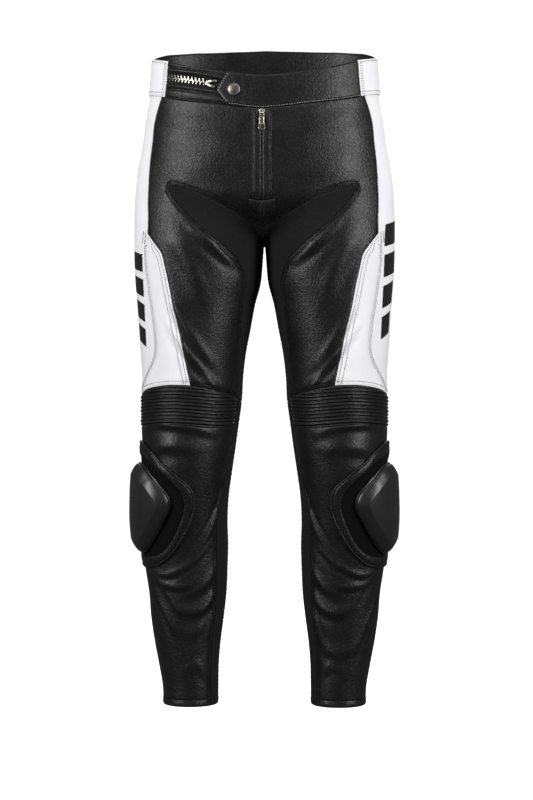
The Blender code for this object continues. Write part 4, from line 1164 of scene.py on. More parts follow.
def band_rise(points):
    """The front band rises over the end of the zip. The points are cloth millimetres."""
    arc = to_cloth([(RAMP_AT * ROUND_MM, SNAP_HEIGHT)])[0, 0] / RAMP_AT
    ramp_low, ramp_high = (at * arc for at in TAB_RAMP)
    return BAND_RISE + TAB_RISE * np.clip((ramp_high - points[:, 0]) / (ramp_high - ramp_low), 0, 1)


def zip_line(rows, start, end):
    """A curve through a table's three rows, between two shares of the way round."""
    rounds = np.linspace(start, end, 24)
    table_rounds, heights = np.array(rows).T
    slope = np.polyfit(table_rounds, heights, 2)
    return np.column_stack([rounds * ROUND_MM, np.polyval(slope, rounds)])


def band_between(low, high):
    """The outline of a band between two lines that run the same way."""
    return loop(low, dense([low[-1], high[-1]]), high[::-1], dense([high[0], low[0]]))


def strip_pieces():
    """The two soft rolled strips beside the waist zip, and its tape."""
    start, end = -BAND_SIDE_FRONT, ZIP_END
    fold_upper, fold_lower = zip_line(ZIP_UPPER, start, end), zip_line(ZIP_LOWER, start, end)
    top = mirrored(stretch(LINES["top"], -end, -start))
    waist = mirrored(stretch(LINES["waist"] - (0, WAIST_LAP), -end, -start))
    upper, lower = band_between(fold_upper, top), band_between(waist, fold_lower)
    strips = []
    for name, outline, fold, rows in (
        ("zip_strip_upper", upper, fold_upper, ((fold_upper, (8.2,)),)),
        ("zip_strip_lower", lower, fold_lower, ((fold_lower, (7.4,)), (waist, ONE_ROW))),
    ):
        strips.append(Piece(name, outline, 1, BAND_RISE, BAND_LEATHER, rows, extra=rolled(to_cloth(fold))))
    high = zip_line(ZIP_UPPER, start + ZIP_TAPE_SHY, end - ZIP_TAPE_SHY) + (0, ZIP_TAPE_REACH)
    low = zip_line(ZIP_LOWER, start + ZIP_TAPE_SHY, end - ZIP_TAPE_SHY) - (0, ZIP_TAPE_REACH)
    return strips, Piece("zip_tape", band_between(low, high), 1, ZIP_TAPE_TOP, ZIP_TAPE_THICK)


def rolled(fold):
    """A soft roll along a fold, then a shallow channel and a second softer roll."""

    def rise(points):
        gap, _, _ = off_line(points, fold)
        return sum(high * np.exp(-(((gap - off) / wide) ** 2)) for high, off, wide in STRIP_ROLLS)

    return rise


def chain_points(at):
    """Where the waist zip's middle lies, its outward direction and its own direction, at some rounds."""
    upper, lower = (zip_line(rows, -BAND_SIDE_FRONT, ZIP_END) for rows in (ZIP_UPPER, ZIP_LOWER))
    middle = (upper + lower) / 2
    spots, normals = surface(at, line_at(middle, at * ROUND_MM), 1)
    ahead = at + 0.001
    further, _ = surface(ahead, line_at(middle, ahead * ROUND_MM), 1)
    return spots, normals, unit(further - spots)


def frame_at(spot, normal, forward):
    """A matrix whose x runs forward and whose z points outwards, in metres."""
    across = unit(np.cross(normal, forward))
    upwards = np.cross(forward, across)
    turned = Matrix((forward, across, upwards)).transposed().to_4x4()
    return Matrix.Scale(MM, 4) @ Matrix.Translation(spot) @ turned


def add_block(body, size, place):
    return bmesh.ops.create_cube(body, size=1, matrix=place @ Matrix.Diagonal((*size, 1)))["verts"]


def add_pin(body, radius, length, segments):
    """A round pin across the fly."""
    bmesh.ops.create_cone(
        body,
        cap_ends=True,
        segments=segments,
        radius1=radius,
        radius2=radius,
        depth=length,
        matrix=Matrix.Rotation(math.pi / 2, 4, "Y"),
    )


def ease_edges(body, width, segments):
    bmesh.ops.bevel(
        body, geom=body.edges[:], offset=width, segments=segments, profile=0.5, affect="EDGES", material=-1
    )


def waist_chain():
    """The teeth of the waist zip, each a small bevelled block, in two rows that mesh."""
    body = bmesh.new()
    spots, normals, along_zip = chain_points(np.arange(*CHAIN_SPAN, TOOTH_PITCH / 2 / ROUND_MM))
    for k, (spot, normal, forward) in enumerate(zip(spots, normals, along_zip)):
        row = 1 if k % 2 else -1
        place = frame_at(spot + normal * CHAIN_RISE, normal, forward)
        lean = Matrix.Rotation(TOOTH_LEAN * row, 4, "Z")
        for long, wide, offset in TOOTH_BLOCKS:
            middle = Matrix.Translation((0, row * offset, 0))
            add_block(body, (long, wide, TOOTH_TALL), place @ lean @ middle)
    ease_edges(body, TOOTH_BEVEL * MM, 1)
    made = finish_mesh("zip_teeth_metal", body, "zip_metal", smooth=False)
    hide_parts("zip_teeth")


def waist_slider():
    """The waist zip's slider: a small body from which two prongs part, with a bridge over it."""
    body = bmesh.new()
    spots, normals, along_zip = chain_points(np.array([FORK_ROUND]))
    place = frame_at(spots[0] + normals[0] * FORK_RISE, normals[0], along_zip[0])
    for size, middle, turn in FORK_BLOCKS:
        add_block(body, size, Matrix.Translation(middle) @ Matrix.Rotation(math.radians(turn), 4, "Z"))
    ease_edges(body, SLIDER_BEVEL, 2)
    bmesh.ops.transform(body, matrix=place, verts=body.verts)
    made = finish_mesh("zip_slider_metal", body, "zip_metal")
    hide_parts("zip_slider")


def snap():
    """The domed snap on the tab, turned from its section."""
    spots, normals = surface(np.array([SNAP_ROUND]), np.array([SNAP_HEIGHT]), 1)
    base = spots[0] + normals[0] * SNAP_RISE
    sideways = unit(np.cross(normals[0], [0, 0, 1]))
    upwards = np.cross(sideways, normals[0])
    turn = 2 * np.pi * np.arange(SNAP_POINTS)[:, None] / SNAP_POINTS
    circle = np.cos(turn) * sideways + np.sin(turn) * upwards
    rings = [base + normals[0] * height + radius * circle for radius, height in SNAP_SECTION]
    made = finish_mesh("waist_snap_metal", lofted(rings), "gunmetal")
    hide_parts("waist_snap")


def fly_pieces(side, hand):
    """The folded facing beside the fly's slit and the rounded leather at its end."""
    wide, open_from, open_to = FLY_OPENING
    inner = [(wide, FLY_TOP), (wide, open_from), (FLY_SLIT, open_to), (FLY_SLIT, FLY_BOTTOM)]
    low = arc_corner((FLY_EDGE - FLY_CORNER, FLY_BOTTOM + FLY_CORNER), FLY_CORNER, -90, 0)
    outline = dense([*inner, *low, (FLY_EDGE, FLY_TOP), inner[0]])[:-1]
    outer = dense([(FLY_EDGE, FLY_TOP), *low[::-1], (FLY_SLIT + 2, FLY_BOTTOM)])
    top = FLY_LIFT + FLY_THICK
    ridge = from_centre(dense([(FLY_RIDGE, FLY_TOP), (FLY_RIDGE, FLY_BOTTOM + FLY_CORNER)]))
    rows = ((from_centre(outer), ONE_ROW),)
    extra = fly_ridge(to_cloth(ridge))
    facing = Piece(f"fly_facing_{hand}", from_centre(outline), side, top, FLY_THICK, rows, extra=extra)
    high, deep = FLY_END_HEIGHTS
    low = arc_corner((FLY_END_EDGE - FLY_END_CORNER, deep + FLY_END_CORNER), FLY_END_CORNER, -90, 0)
    start = (FLY_END_SLIT, high)
    outline = dense([start, (FLY_END_SLIT, deep), *low, (FLY_END_EDGE, high), start])[:-1]
    outer = dense([(FLY_END_EDGE, high), *low[::-1], (FLY_END_SLIT, deep)])
    rows = ((from_centre(outer), ONE_ROW),)
    return facing, Piece(f"fly_end_{hand}", from_centre(outline), side, top, FLY_THICK, rows)


def fly_ridge(line):
    """A low ridge along a facing, over the zip's edge."""
    high, wide = FLY_RIDGE_SECTION

    def rise(points):
        gap, _, _ = off_line(points, line)
        return high * np.exp(-((gap / wide) ** 2))

    return rise


def pin_place():
    """Where the fly slider's pin lies: x runs along it, y into the body and z up the zip."""
    spots, normals = surface(np.array([0.0]), np.array([SLIDER_TOP - PIN_DROP]), 1)
    outwards = Vector((0, normals[0][1], normals[0][2])).normalized()
    pin = Vector((0, spots[0][1], spots[0][2])) + outwards * PIN_RISE
    downwards = Vector((1, 0, 0)).cross(outwards)
    if downwards.z > 0:
        downwards.negate()
    turned = Matrix(((1, 0, 0), (0, -outwards.y, -downwards.y), (0, -outwards.z, -downwards.z)))
    return Matrix.Scale(MM, 4) @ Matrix.Translation(pin) @ turned.to_4x4()


def fly_slider():
    """The fly zip's slider body with its two cheeks and pin."""
    body = bmesh.new()
    for count, (size, middle) in enumerate(FLY_SLIDER_BLOCKS):
        verts = add_block(body, size, Matrix.Translation(middle))
        for vert in verts if count == 0 else ():
            vert.co.x *= FLY_SLIDER_TAPER if vert.co.z < 0 else 1.0
    ease_edges(body, SLIDER_BEVEL, 2)
    add_pin(body, *FLY_PIN, 20)
    bmesh.ops.transform(body, matrix=pin_place(), verts=body.verts)
    made = finish_mesh("fly_slider_metal", body, "zip_metal")
    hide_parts("fly_zip_slider")


def fly_pull():
    """The fly zip's pull tab: a tapered frame round a recessed plate, with a hole near its end."""
    body = bmesh.new()
    top, end = PULL_ENDS
    add_block(body, (1, PULL_THICK, top - end), Matrix.Translation((0, 0, (top + end) / 2)))
    for drop in PULL_BARS:
        geometry = [*body.faces, *body.edges, *body.verts]
        bmesh.ops.bisect_plane(body, geom=geometry, dist=0.001, plane_co=(0, 0, drop), plane_no=(0, 0, 1))
    for vert in body.verts:
        vert.co.x *= float(line_at(PULL_WIDTHS, -vert.co.z))
    low, high = PULL_PLATE
    step, sink = PULL_STEP
    panes = [face for face in body.faces if abs(face.normal.y) > 0.9]
    upper = [face for face in panes if low < face.calc_center_median().z < high]
    lower = [face for face in panes if face.calc_center_median().z < PULL_BARS[-1]]
    for pane in upper:
        bmesh.ops.inset_region(body, faces=[pane], thickness=PULL_RIM, depth=0.0)
        bmesh.ops.inset_region(body, faces=[pane], thickness=step, depth=sink)
    rims = []
    for pane in lower:
        bmesh.ops.inset_region(body, faces=[pane], thickness=PULL_HOLE_RIM, depth=0.0)
        rims += list(pane.edges)
    bmesh.ops.delete(body, geom=lower, context="FACES_ONLY")
    bmesh.ops.bridge_loops(body, edges=rims)
    bmesh.ops.recalc_face_normals(body, faces=body.faces)
    ease_edges(body, PULL_BEVEL, 2)
    add_pin(body, *PULL_EYE, 24)
    bmesh.ops.transform(body, matrix=pin_place(), verts=body.verts)
    made = finish_mesh("fly_pull_metal", body, "zip_metal", moves_with=PULL_BODY)
    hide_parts("fly_zip_pull")


def frame_rings(section):
    """Rings round the slider between the frame's two rims, each at a share of the way in and a rise."""
    outer, inner = even_rim(FRAME_RIM), even_rim(PATCH_RIM, FRAME_INNER)
    return [(outer + (inner - outer) * share, FRAME_LIFT + rise) for share, rise in section]


def give_smoother(made):
    smoother = made.modifiers.new("smoother", "SUBSURF")
    smoother.levels = smoother.render_levels = 1


def knee_frame(side, hand):
    """The padded leather frame round the knee slider, through rings of one section."""
    rings = [raised(points, rise, side) for points, rise in frame_rings(FRAME_SECTION)]
    body = lofted(rings, closed=True)
    # The worn crest gets wear and a painted highlight, and the sunk row of stitches gets painted shade
    layers = [body.verts.layers.float.new(name) for name in ("wear_and_painted_light", "furrow")]
    for k, vert in enumerate(body.verts):
        share = FRAME_SECTION[k // RIM_POINTS][0]
        for layer, (at, wide) in zip(layers, (FRAME_WORN_AND_PAINTED_HIGHLIGHT, FRAME_SUNK)):
            vert[layer] = math.exp(-(((share - at) / wide) ** 2))
    made = finish_mesh(f"knee_frame_{hand}_padding", body, "black_leather")
    give_smoother(made)
    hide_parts(f"knee_frame_{hand}")


def knee_slider(side, hand):
    """The hard slider: rings of one section, and a channel round its foot."""
    rings = [raised(even_rim(PUCK_RIM, size), rise, side) for size, rise in PUCK_SECTION]
    made = finish_mesh(f"knee_slider_{hand}_shell", lofted(rings), "moulded_plastic")
    give_smoother(made)
    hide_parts(f"knee_slider_{hand}")


def ring_stitches(body, points, rise, side):
    """A closed row of stitches on a raised ring."""
    ring = closed(points)
    lengths = run_along(ring)
    at = np.arange(0, lengths[-1], bpy.context.scene.pants_sewing.pitch / MM * FRAME_PITCHES)
    across, height = (np.interp(at, lengths, ring[:, k]) for k in (0, 1))
    spots, normals = surface(across / ROUND_MM, height, side)
    spots = spots + normals * rise
    add_stitches(body, spots, unit(np.roll(spots, -1, axis=0) - spots), normals, 0)


def linear(text):
    """An sRGB hex colour as linear red, green, blue and alpha."""
    values = [int(text[at : at + 2], 16) / 255 for at in (0, 2, 4)]
    return (*(v / 12.92 if v <= 0.04045 else ((v + 0.055) / 1.055) ** 2.4 for v in values), 1.0)


def add(tree, kind, links=None, **settings):
    """Adds one shader node, with its settings, and its inputs as numbers or links."""
    node = tree.nodes.new(f"ShaderNode{kind}")
    for name, value in settings.items():
        setattr(node, name, value)
    for name, value in (links or {}).items():
        if isinstance(value, bpy.types.NodeSocket):
            tree.links.new(value, node.inputs[name])
        else:
            node.inputs[name].default_value = value
    return node


def new_material(name, **sockets):
    """A material whose shader's own sockets hold what is the same all over."""
    made = bpy.data.materials.new(name)
    made.use_nodes = True
    tree = made.node_tree
    shader = tree.nodes["Principled BSDF"]
    for socket, value in sockets.items():
        shader.inputs[socket.replace("_", " ")].default_value = value
    return tree, shader, add(tree, "TexCoord").outputs["Object"]


def per_mm(size):
    """The texture scale whose cells are this many millimetres, on coordinates in metres."""
    return 1 / (size * MM)


def grained(tree, shader, at, grain, depth, tones, rough, wear_and_painted_light_tone):
    """Leather: pebbles, fine pores, slow changes of tone and gloss, edges that are partly worn and partly
    painted light, and stitch channels darkened as painted shade.
    """
    cells = add(tree, "TexVoronoi", {"Vector": at, "Scale": per_mm(grain)}, feature="SMOOTH_F1")
    cells.inputs["Smoothness"].default_value = 0.6
    pores = add(tree, "TexNoise", {"Vector": at, "Scale": per_mm(grain * 0.55), "Detail": 2.0})
    slow = add(tree, "TexNoise", {"Vector": at, "Scale": per_mm(SLOW_PATCH), "Detail": 3.0})
    heights = add(tree, "Math", {0: cells.outputs["Distance"], 1: pores.outputs["Fac"]}, operation="ADD")
    fine = add(tree, "Bump", {"Height": heights.outputs[0], "Distance": depth * MM, "Strength": 1.0})
    swells = {"Height": slow.outputs["Fac"], "Distance": MM, "Strength": 0.35, "Normal": fine.outputs[0]}
    tree.links.new(add(tree, "Bump", swells).outputs["Normal"], shader.inputs["Normal"])
    # Painted light near the cut edges: black leather turns lighter there, partly wear and partly a painted
    # highlight; white leather turns greyer, painted shade
    wear_and_painted_light_attribute = add(tree, "Attribute", attribute_name="wear_and_painted_light")
    worn = {0: wear_and_painted_light_attribute.outputs["Fac"], 1: slow.outputs["Fac"]}
    wear_and_painted_light_share = add(tree, "Math", worn, operation="MULTIPLY", use_clamp=True)
    dark, light = tones
    toned = add(tree, "Mix", {0: slow.outputs["Fac"], 6: dark, 7: light}, data_type="RGBA")
    edged = add(tree, "Mix", {0: wear_and_painted_light_share.outputs[0], 6: toned.outputs[2], 7: wear_and_painted_light_tone}, data_type="RGBA")
    # Painted shade: the stitch channels are darkened nearly to black (040404)
    channel = add(tree, "Attribute", attribute_name="furrow")
    sunk = {0: channel.outputs["Fac"], 6: edged.outputs[2], 7: linear("040404")}
    tree.links.new(add(tree, "Mix", sunk, data_type="RGBA").outputs[2], shader.inputs["Base Color"])
    # Pebbles glint more than the creases between them, and the stitch channels hardly at all
    pebbles = {"Value": heights.outputs[0], "From Min": 0.55, "From Max": 1.05, "To Min": 0.52, "To Max": 0.3}
    glints = add(tree, "MapRange", pebbles)
    shine = add(tree, "MapRange", {"Value": channel.outputs["Fac"], "To Min": 1.0, "To Max": 0.08})
    shown = add(tree, "Math", {0: glints.outputs["Result"], 1: shine.outputs["Result"]}, operation="MULTIPLY")
    tree.links.new(shown.outputs[0], shader.inputs["Specular IOR Level"])
    low, high = rough
    gloss = {"Value": slow.outputs["Fac"], "From Min": 0.3, "From Max": 0.7, "To Min": low, "To Max": high}
    tree.links.new(add(tree, "MapRange", gloss).outputs["Result"], shader.inputs["Roughness"])


def two_tones(colour, share):
    """A darker and a lighter tone from the lighter one."""
    return (*(value * share for value in colour), 1.0), (*colour, 1.0)


def black_leather():
    """Aniline cowhide, milled: a pebbled grain with a soft satin gloss, and greyer edges that are partly worn
    and partly a painted highlight.
    The real grain is about 1 mm and is drawn at 3 mm so that it shows."""
    made = new_material("milled_cowhide", IOR=1.48)
    cloth = bpy.context.scene.pants_leather
    # 2B2B2C is the edges' lighter grey: partly wear, partly a painted highlight
    grained(*made, cloth.grain / MM, 0.32, two_tones(cloth.black, 0.6), (0.37, 0.46), linear("2B2B2C"))


def white_leather():
    """Coated white cowhide: a flatter, finer grain under a smooth pigment coat, greyer at the seams as
    painted shade.
    The real grain is about 0.8 mm and is drawn at 2 mm so that it shows."""
    made = new_material("coated_cowhide", IOR=1.46)
    tones = two_tones(bpy.context.scene.pants_leather.white, 0.95)
    # E2E2E4 is the greyer tone at the seams: painted shade
    grained(*made, 2.0, 0.12, tones, (0.4, 0.5), linear("E2E2E4"))


def stretch_textile():
    """Aramid stretch knit: a matt black rib of fine wales under a nap of loose fibre.
    The real wales are about 0.8 mm apart and are drawn 2.4 mm apart so that they show."""
    tree, shader, at = new_material("stretch_knit", Roughness=0.9, IOR=1.25)
    cloth_at = add(tree, "UVMap", uv_map="cloth")
    waves = []
    for direction, apart in (("X", 2.4), ("Y", 3.0)):
        scale = per_mm(apart) * WAVE_PERIOD
        links = {"Vector": cloth_at.outputs[0], "Scale": scale, "Distortion": 0.6, "Detail": 1.0}
        waves.append(add(tree, "TexWave", links, bands_direction=direction).outputs["Fac"])
    woven = add(tree, "Math", {0: waves[0], 1: waves[1]}, operation="MULTIPLY")
    fuzz = add(tree, "TexNoise", {"Vector": at, "Scale": per_mm(1.4), "Detail": 3.0})
    heights = add(tree, "Math", {0: woven.outputs[0], 1: fuzz.outputs["Fac"]}, operation="ADD")
    bump = add(tree, "Bump", {"Height": heights.outputs[0], "Distance": 0.5 * MM, "Strength": 0.7})
    tree.links.new(bump.outputs["Normal"], shader.inputs["Normal"])
    tones = {0: heights.outputs[0], 6: linear("111111"), 7: linear("1E1E1E")}
    tree.links.new(add(tree, "Mix", tones, data_type="RGBA").outputs[2], shader.inputs["Base Color"])


def mottled(name, size, depth, dark, light, **sockets):
    """A material with one grain: its bump and its two tones come from the same noise."""
    tree, shader, at = new_material(name, **sockets)
    noise = add(tree, "TexNoise", {"Vector": at, "Scale": per_mm(size), "Detail": 3.0}).outputs["Fac"]
    bump = add(tree, "Bump", {"Height": noise, "Distance": depth * MM, "Strength": 0.6})
    tree.links.new(bump.outputs["Normal"], shader.inputs["Normal"])
    tones = add(tree, "Mix", {0: noise, 6: linear(dark), 7: linear(light)}, data_type="RGBA")
    tree.links.new(tones.outputs[2], shader.inputs["Base Color"])
    return shader


def small_materials():
    """Everything that isn't panel leather or knit."""
    # Nylon loop tape: a dull pile of loops about 1.2 mm across that swallows the light
    mottled("loop_pile", 1.8, 0.9, "030303", "0C0C0C", Roughness=0.95, IOR=1.25)
    # Injection-moulded polyurethane: satin, with the tool's fine spark-eroded texture
    mottled("moulded_plastic", 1.6, 0.05, "1B1B1C", "232324", Roughness=0.36, IOR=1.5)
    # Woven polyester tape beside the zip teeth
    mottled("zip_tape_weave", 0.9, 0.3, "090909", "141414", Roughness=0.9)
    # Bonded polyester thread, black: a little brighter than the leather that it is sunk in
    mottled("black_thread", 0.8, 0.2, "070708", "101011", Roughness=0.6)
    # The same black thread, painted light grey along the foot of the waistband as a painted highlight, where
    # the light picks it out
    mottled("black_thread_painted_highlight", 0.8, 0.2, "8C8C8E", "A8A8AA", Roughness=0.5)
    # Bonded polyester thread, grey, on the white leather
    mottled("grey_thread", 0.8, 0.2, "68686A", "868688", Roughness=0.6)
    # Printed film: smooth and slightly glossier than the leather under it
    mottled("print_film", 3.0, 0.05, "121213", "1A1A1B", Roughness=0.42)
    # Nickel-plated brass: bright, with fine handling marks and a warm cast where the plating is thin
    mottled("zip_metal", 2.4, 0.03, "A6A298", "C8C5BC", Roughness=0.27, Metallic=1.0)
    # Gunmetal plating: dark and smooth, brighter where the thumb presses
    mottled("gunmetal", 3.0, 0.02, "6A6763", "86837E", Roughness=0.4, Metallic=1.0)


def softbox(name, place, size, power):
    """A rectangular light turned to the garment's middle."""
    light = bpy.data.lights.new(name, "AREA")
    light.shape = "RECTANGLE"
    light.size, light.size_y = size
    light.energy = power * bpy.context.scene.pants_stage.light
    made = bpy.data.objects.new(name, light)
    bpy.context.scene.collection.objects.link(made)
    made.location = place
    made.rotation_euler = (Vector(LIT_POINT) - Vector(place)).to_track_quat("-Z", "Y").to_euler()


def studio_air():
    """The soft light that comes from all round."""
    world = bpy.data.worlds.new("studio")
    bpy.context.scene.world = world
    world.use_nodes = True
    air = world.node_tree.nodes["Background"]
    air.inputs["Color"].default_value = (1, 1, 1, 1)
    air.inputs["Strength"].default_value = AIR_STRENGTH
    bpy.context.scene.view_settings.view_transform = "Standard"


def camera():
    """The photograph's view."""
    stage = bpy.context.scene.pants_stage
    made = bpy.data.objects.new("camera", bpy.data.cameras.new("camera"))
    bpy.context.scene.collection.objects.link(made)
    made.data.lens = stage.lens
    made.data.sensor_width = 36
    sine, cosine = math.sin(stage.turn), math.cos(stage.turn)
    made.location = (
        stage.distance * sine + CAMERA_ASIDE * cosine,
        -stage.distance * cosine + CAMERA_ASIDE * sine,
        CAMERA_HEIGHT,
    )
    made.rotation_euler = (math.pi / 2, 0, stage.turn)
    bpy.context.scene.camera = made


def floor_and_backdrop():
    """A pale floor, and a pale wall all round it that sends no light back to the garment."""
    body = bmesh.new()
    floor = bmesh.ops.create_circle(body, cap_ends=True, segments=64, radius=STAGE_RADIUS)["verts"]
    bmesh.ops.translate(body, vec=(0, 0, FLOOR), verts=floor)
    rim = [edge for edge in body.edges if edge.is_boundary]
    wall = bmesh.ops.extrude_edge_only(body, edges=rim)["geom"]
    lifted = [part for part in wall if isinstance(part, bmesh.types.BMVert)]
    bmesh.ops.translate(body, vec=(0, 0, STAGE_RADIUS), verts=lifted)
    mesh = bpy.data.meshes.new("studio")
    body.to_mesh(mesh)
    body.free()
    made = bpy.data.objects.new("studio", mesh)
    bpy.context.scene.collection.objects.link(made)
    mesh.materials.append(bpy.data.materials["studio_paper"])
    made.visible_diffuse = False
    made.visible_glossy = False


def studio_paper():
    """Seamless studio paper: matt white, with a faint tooth."""
    shader = mottled("studio_paper", 8.0, 0.02, "F4F4F4", "FAFAFA", Roughness=0.9)
    shader.inputs["Emission Color"].default_value = linear("FFFFFF")
    shader.inputs["Emission Strength"].default_value = 0.95


def print_bars(side, hand):
    """Four slanted bars printed on the side stripe, each shorter than the one above."""
    at, high, tall, apart = BARS[hand]
    body = bmesh.new()
    for count, share in enumerate(BAR_SHARES):
        top = high - count * (tall + apart)
        wide = BAR_WIDE * share
        foot = (0, top - tall)
        corners = [foot, (wide, top - tall + BAR_SLANT), (wide, top + BAR_SLANT), (0, top), foot]
        outline = dense(corners, 3.0)[:-1] + (at * ROUND_MM, 0)
        piece = Piece("bar", outline, side, BAR_RISE, BAR_THICK)
        cut = cut_flat(piece.outline, BAR_RINGS, BAR_CUT)
        lay_out(cut, piece)
        held = bpy.data.meshes.new("bar")
        cut.to_mesh(held)
        cut.free()
        body.from_mesh(held)
        bpy.data.meshes.remove(held)
    give_wall(finish_mesh(f"print_bars_{hand}", body, "print_film"), BAR_THICK)


class LeatherSettings(bpy.types.PropertyGroup):
    """Leather and knit: what a cutter would change."""

    leather_thick: FloatProperty(
        name="Leather thickness",
        description="Wall of the leather panels",
        default=0.002,
        min=0.001,
        max=0.003,
        unit="LENGTH",
    )
    textile_thick: FloatProperty(
        name="Knit thickness",
        description="Wall of the stretch knit",
        default=0.0015,
        min=0.001,
        max=0.003,
        unit="LENGTH",
    )
    black: FloatVectorProperty(
        name="Black leather",
        description="Colour of the black leather's lighter tone",
        default=linear("161617")[:3],
        subtype="COLOR",
        min=0,
        max=1,
    )
    white: FloatVectorProperty(
        name="White leather",
        description="Colour of the white leather's lighter tone",
        default=linear("F8F8FA")[:3],
        subtype="COLOR",
        min=0,
        max=1,
    )
    grain: FloatProperty(
        name="Grain",
        description="Width of a pebble of the black grain",
        default=0.0032,
        min=0.0005,
        unit="LENGTH",
    )


class SewingSettings(bpy.types.PropertyGroup):
    """Thread and stitches."""

    pitch: FloatProperty(
        name="Stitch pitch",
        description="From one stitch to the next",
        default=0.0039,
        min=0.003,
        unit="LENGTH",
    )
    length: FloatProperty(
        name="Stitch length",
        description="Thread that shows of each stitch",
        default=0.0029,
        min=0.001,
        unit="LENGTH",
    )
    radius: FloatProperty(
        name="Thread radius",
        description="Half the thread's thickness",
        default=0.0006,
        min=0.0002,
        unit="LENGTH",
    )


class StageSettings(bpy.types.PropertyGroup):
    """Camera and light."""

    turn: FloatProperty(
        name="Camera turn",
        description="How far round the camera stands",
        default=CAMERA_TURN,
        subtype="ANGLE",
    )
    distance: FloatProperty(
        name="Camera distance",
        description="From the garment's middle",
        default=CAMERA_FAR,
        min=1,
        unit="LENGTH",
    )
    lens: FloatProperty(
        name="Lens",
        description="Focal length in millimetres",
        default=CAMERA_LENS,
        min=20,
        subtype="DISTANCE_CAMERA",
    )
    light: FloatProperty(name="Light", description="Scales all the softboxes", default=1.0, min=0)


class PANTS_OT_finishes(bpy.types.Operator):
    """Mixes the leather, knit, thread, plastic and metal."""

    bl_idname = "pants.finishes"
    bl_label = "Materials"

    def execute(self, context):
        black_leather()
        white_leather()
        stretch_textile()
        small_materials()
        studio_paper()
        return {"FINISHED"}


class PANTS_OT_stage(bpy.types.Operator):
    """Sets the pale floor, the softboxes and the camera."""

    bl_idname = "pants.stage"
    bl_label = "Stage"

    def execute(self, context):
        floor_and_backdrop()
        camera()
        for row in SOFTBOXES:
            softbox(*row)
        studio_air()
        return {"FINISHED"}


class PANTS_OT_panels(bpy.types.Operator):
    """Cuts and sews the leather and knit panels of both halves, with their stitches."""

    bl_idname = "pants.panels"
    bl_label = "Panels"

    def execute(self, context):
        for side, hand in SIDES:
            threads = {"black_thread": [], "grey_thread": []}
            for piece, finish in half(side, hand):
                rings = PLAIN_RINGS if finish == "white_leather" else EDGE_RINGS
                has_hem = "calf" in piece.name or "shin" in piece.name
                sew(piece, finish, rings, levels=HEM_LEVELS if has_hem else ())
                threads[THREADS[finish]].append(piece)
            sew_rows(f"panel_stitching_{hand}", threads["black_thread"], "black_thread")
            sew_rows(f"stripe_stitching_{hand}", threads["grey_thread"], "grey_thread")
        return {"FINISHED"}


class PANTS_OT_print(bpy.types.Operator):
    """Prints the slanted bars on the side stripes."""

    bl_idname = "pants.print"
    bl_label = "Printed bars"

    def execute(self, context):
        for side, hand in SIDES:
            print_bars(side, hand)
        return {"FINISHED"}


class PANTS_OT_expanders(bpy.types.Operator):
    """Sews the ribbed leather above the kneecaps."""

    bl_idname = "pants.expanders"
    bl_label = "Knee expanders"

    def execute(self, context):
        for side, hand in SIDES:
            sew(ribs_piece(side, hand), "black_leather", PLAIN_RINGS, RIB_CUT)
        return {"FINISHED"}


class PANTS_OT_knee_sliders(bpy.types.Operator):
    """Builds the padded frames, the loop patches and the hard knee sliders."""

    bl_idname = "pants.knee_sliders"
    bl_label = "Knee sliders"

    def execute(self, context):
        for side, hand in SIDES:
            knee_frame(side, hand)
            top = PATCH_LIFT + PATCH_THICK
            patch = Piece(f"knee_patch_{hand}", even_rim(PATCH_RIM), side, top, PATCH_THICK)
            sew(patch, "loop_pile", PLAIN_RINGS)
            knee_slider(side, hand)
            body = bmesh.new()
            for points, rise in frame_rings(FRAME_ROWS):
                ring_stitches(body, points, rise, side)
            finish_mesh(f"knee_frame_stitching_{hand}", body, "black_thread")
        return {"FINISHED"}


class PANTS_OT_fly(bpy.types.Operator):
    """Sews the fly's facings and end, and builds its zip slider and pull tab."""

    bl_idname = "pants.fly"
    bl_label = "Fly"

    def execute(self, context):
        for side, hand in SIDES:
            pieces = fly_pieces(side, hand)
            for piece in pieces:
                sew(piece, "black_leather", NARROW_RINGS, FLY_CUT)
            sew_rows(f"fly_stitching_{hand}", pieces, "black_thread")
        fly_slider()
        fly_pull()
        return {"FINISHED"}


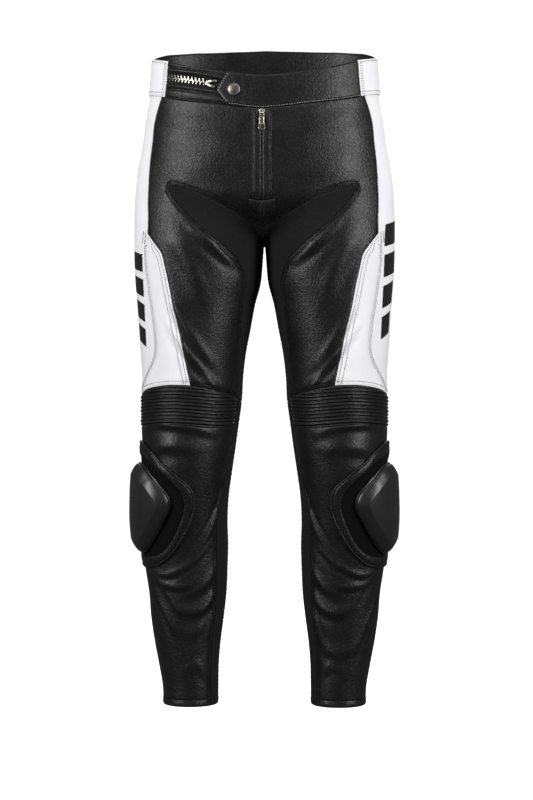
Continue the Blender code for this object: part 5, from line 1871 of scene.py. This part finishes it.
class PANTS_OT_waistband(bpy.types.Operator):
    """Sews the waistband, its white sides and its pointed tab with the snap."""

    bl_idname = "pants.waistband"
    bl_label = "Waistband"

    def execute(self, context):
        bands, sides = waist_pieces()
        for piece in bands:
            sew(piece, "black_leather", step=BAND_CUT)
        for piece in sides:
            sew(piece, "white_leather", PLAIN_RINGS, BAND_CUT)
        front, back = bands
        # The front band's rows take the black thread painted light grey: a painted highlight
        sew_rows("waistband_stitching", [front], "black_thread_painted_highlight")
        sew_rows("back_band_stitching", [back], "black_thread")
        sew_rows("waist_side_stitching", sides, "grey_thread")
        snap()
        return {"FINISHED"}


class PANTS_OT_waist_zip(bpy.types.Operator):
    """Sews the waist zip's strips and tape, and builds its teeth and slider."""

    bl_idname = "pants.waist_zip"
    bl_label = "Waist zip"

    def execute(self, context):
        strips, tape = strip_pieces()
        for piece in strips:
            sew(piece, "black_leather", NARROW_RINGS, STRIP_CUT)
        sew(tape, "zip_tape_weave", PLAIN_RINGS)
        sew_rows("zip_strip_stitching", strips, "black_thread")
        waist_chain()
        waist_slider()
        return {"FINISHED"}


OPERATORS = (
    PANTS_OT_finishes,
    PANTS_OT_stage,
    PANTS_OT_panels,
    PANTS_OT_print,
    PANTS_OT_expanders,
    PANTS_OT_knee_sliders,
    PANTS_OT_fly,
    PANTS_OT_waistband,
    PANTS_OT_waist_zip,
)
SETTINGS = {"pants_leather": LeatherSettings, "pants_sewing": SewingSettings, "pants_stage": StageSettings}


class PANTS_PT_maker(bpy.types.Panel):
    """Lists the sizes and the pieces to make."""

    bl_label = "Leather riding pants"
    bl_space_type = "VIEW_3D"
    bl_region_type = "UI"
    bl_category = "Pants"

    def draw(self, context):
        for name, settings in SETTINGS.items():
            box = self.layout.box()
            group = getattr(context.scene, name)
            for prop in settings.__annotations__:
                box.prop(group, prop)
        for operator in OPERATORS:
            self.layout.operator(operator.bl_idname)


CLASSES = (*SETTINGS.values(), *OPERATORS, PANTS_PT_maker)


def register():
    for made in CLASSES:
        bpy.utils.register_class(made)
    for name, settings in SETTINGS.items():
        setattr(bpy.types.Scene, name, PointerProperty(type=settings))


def unregister():
    for name in SETTINGS:
        delattr(bpy.types.Scene, name)
    for made in reversed(CLASSES):
        bpy.utils.unregister_class(made)


def main():
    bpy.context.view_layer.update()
    register()
    for operator in OPERATORS:
        group, name = operator.bl_idname.split(".")
        getattr(getattr(bpy.ops, group), name)()


if __name__ == "__main__":
    main()
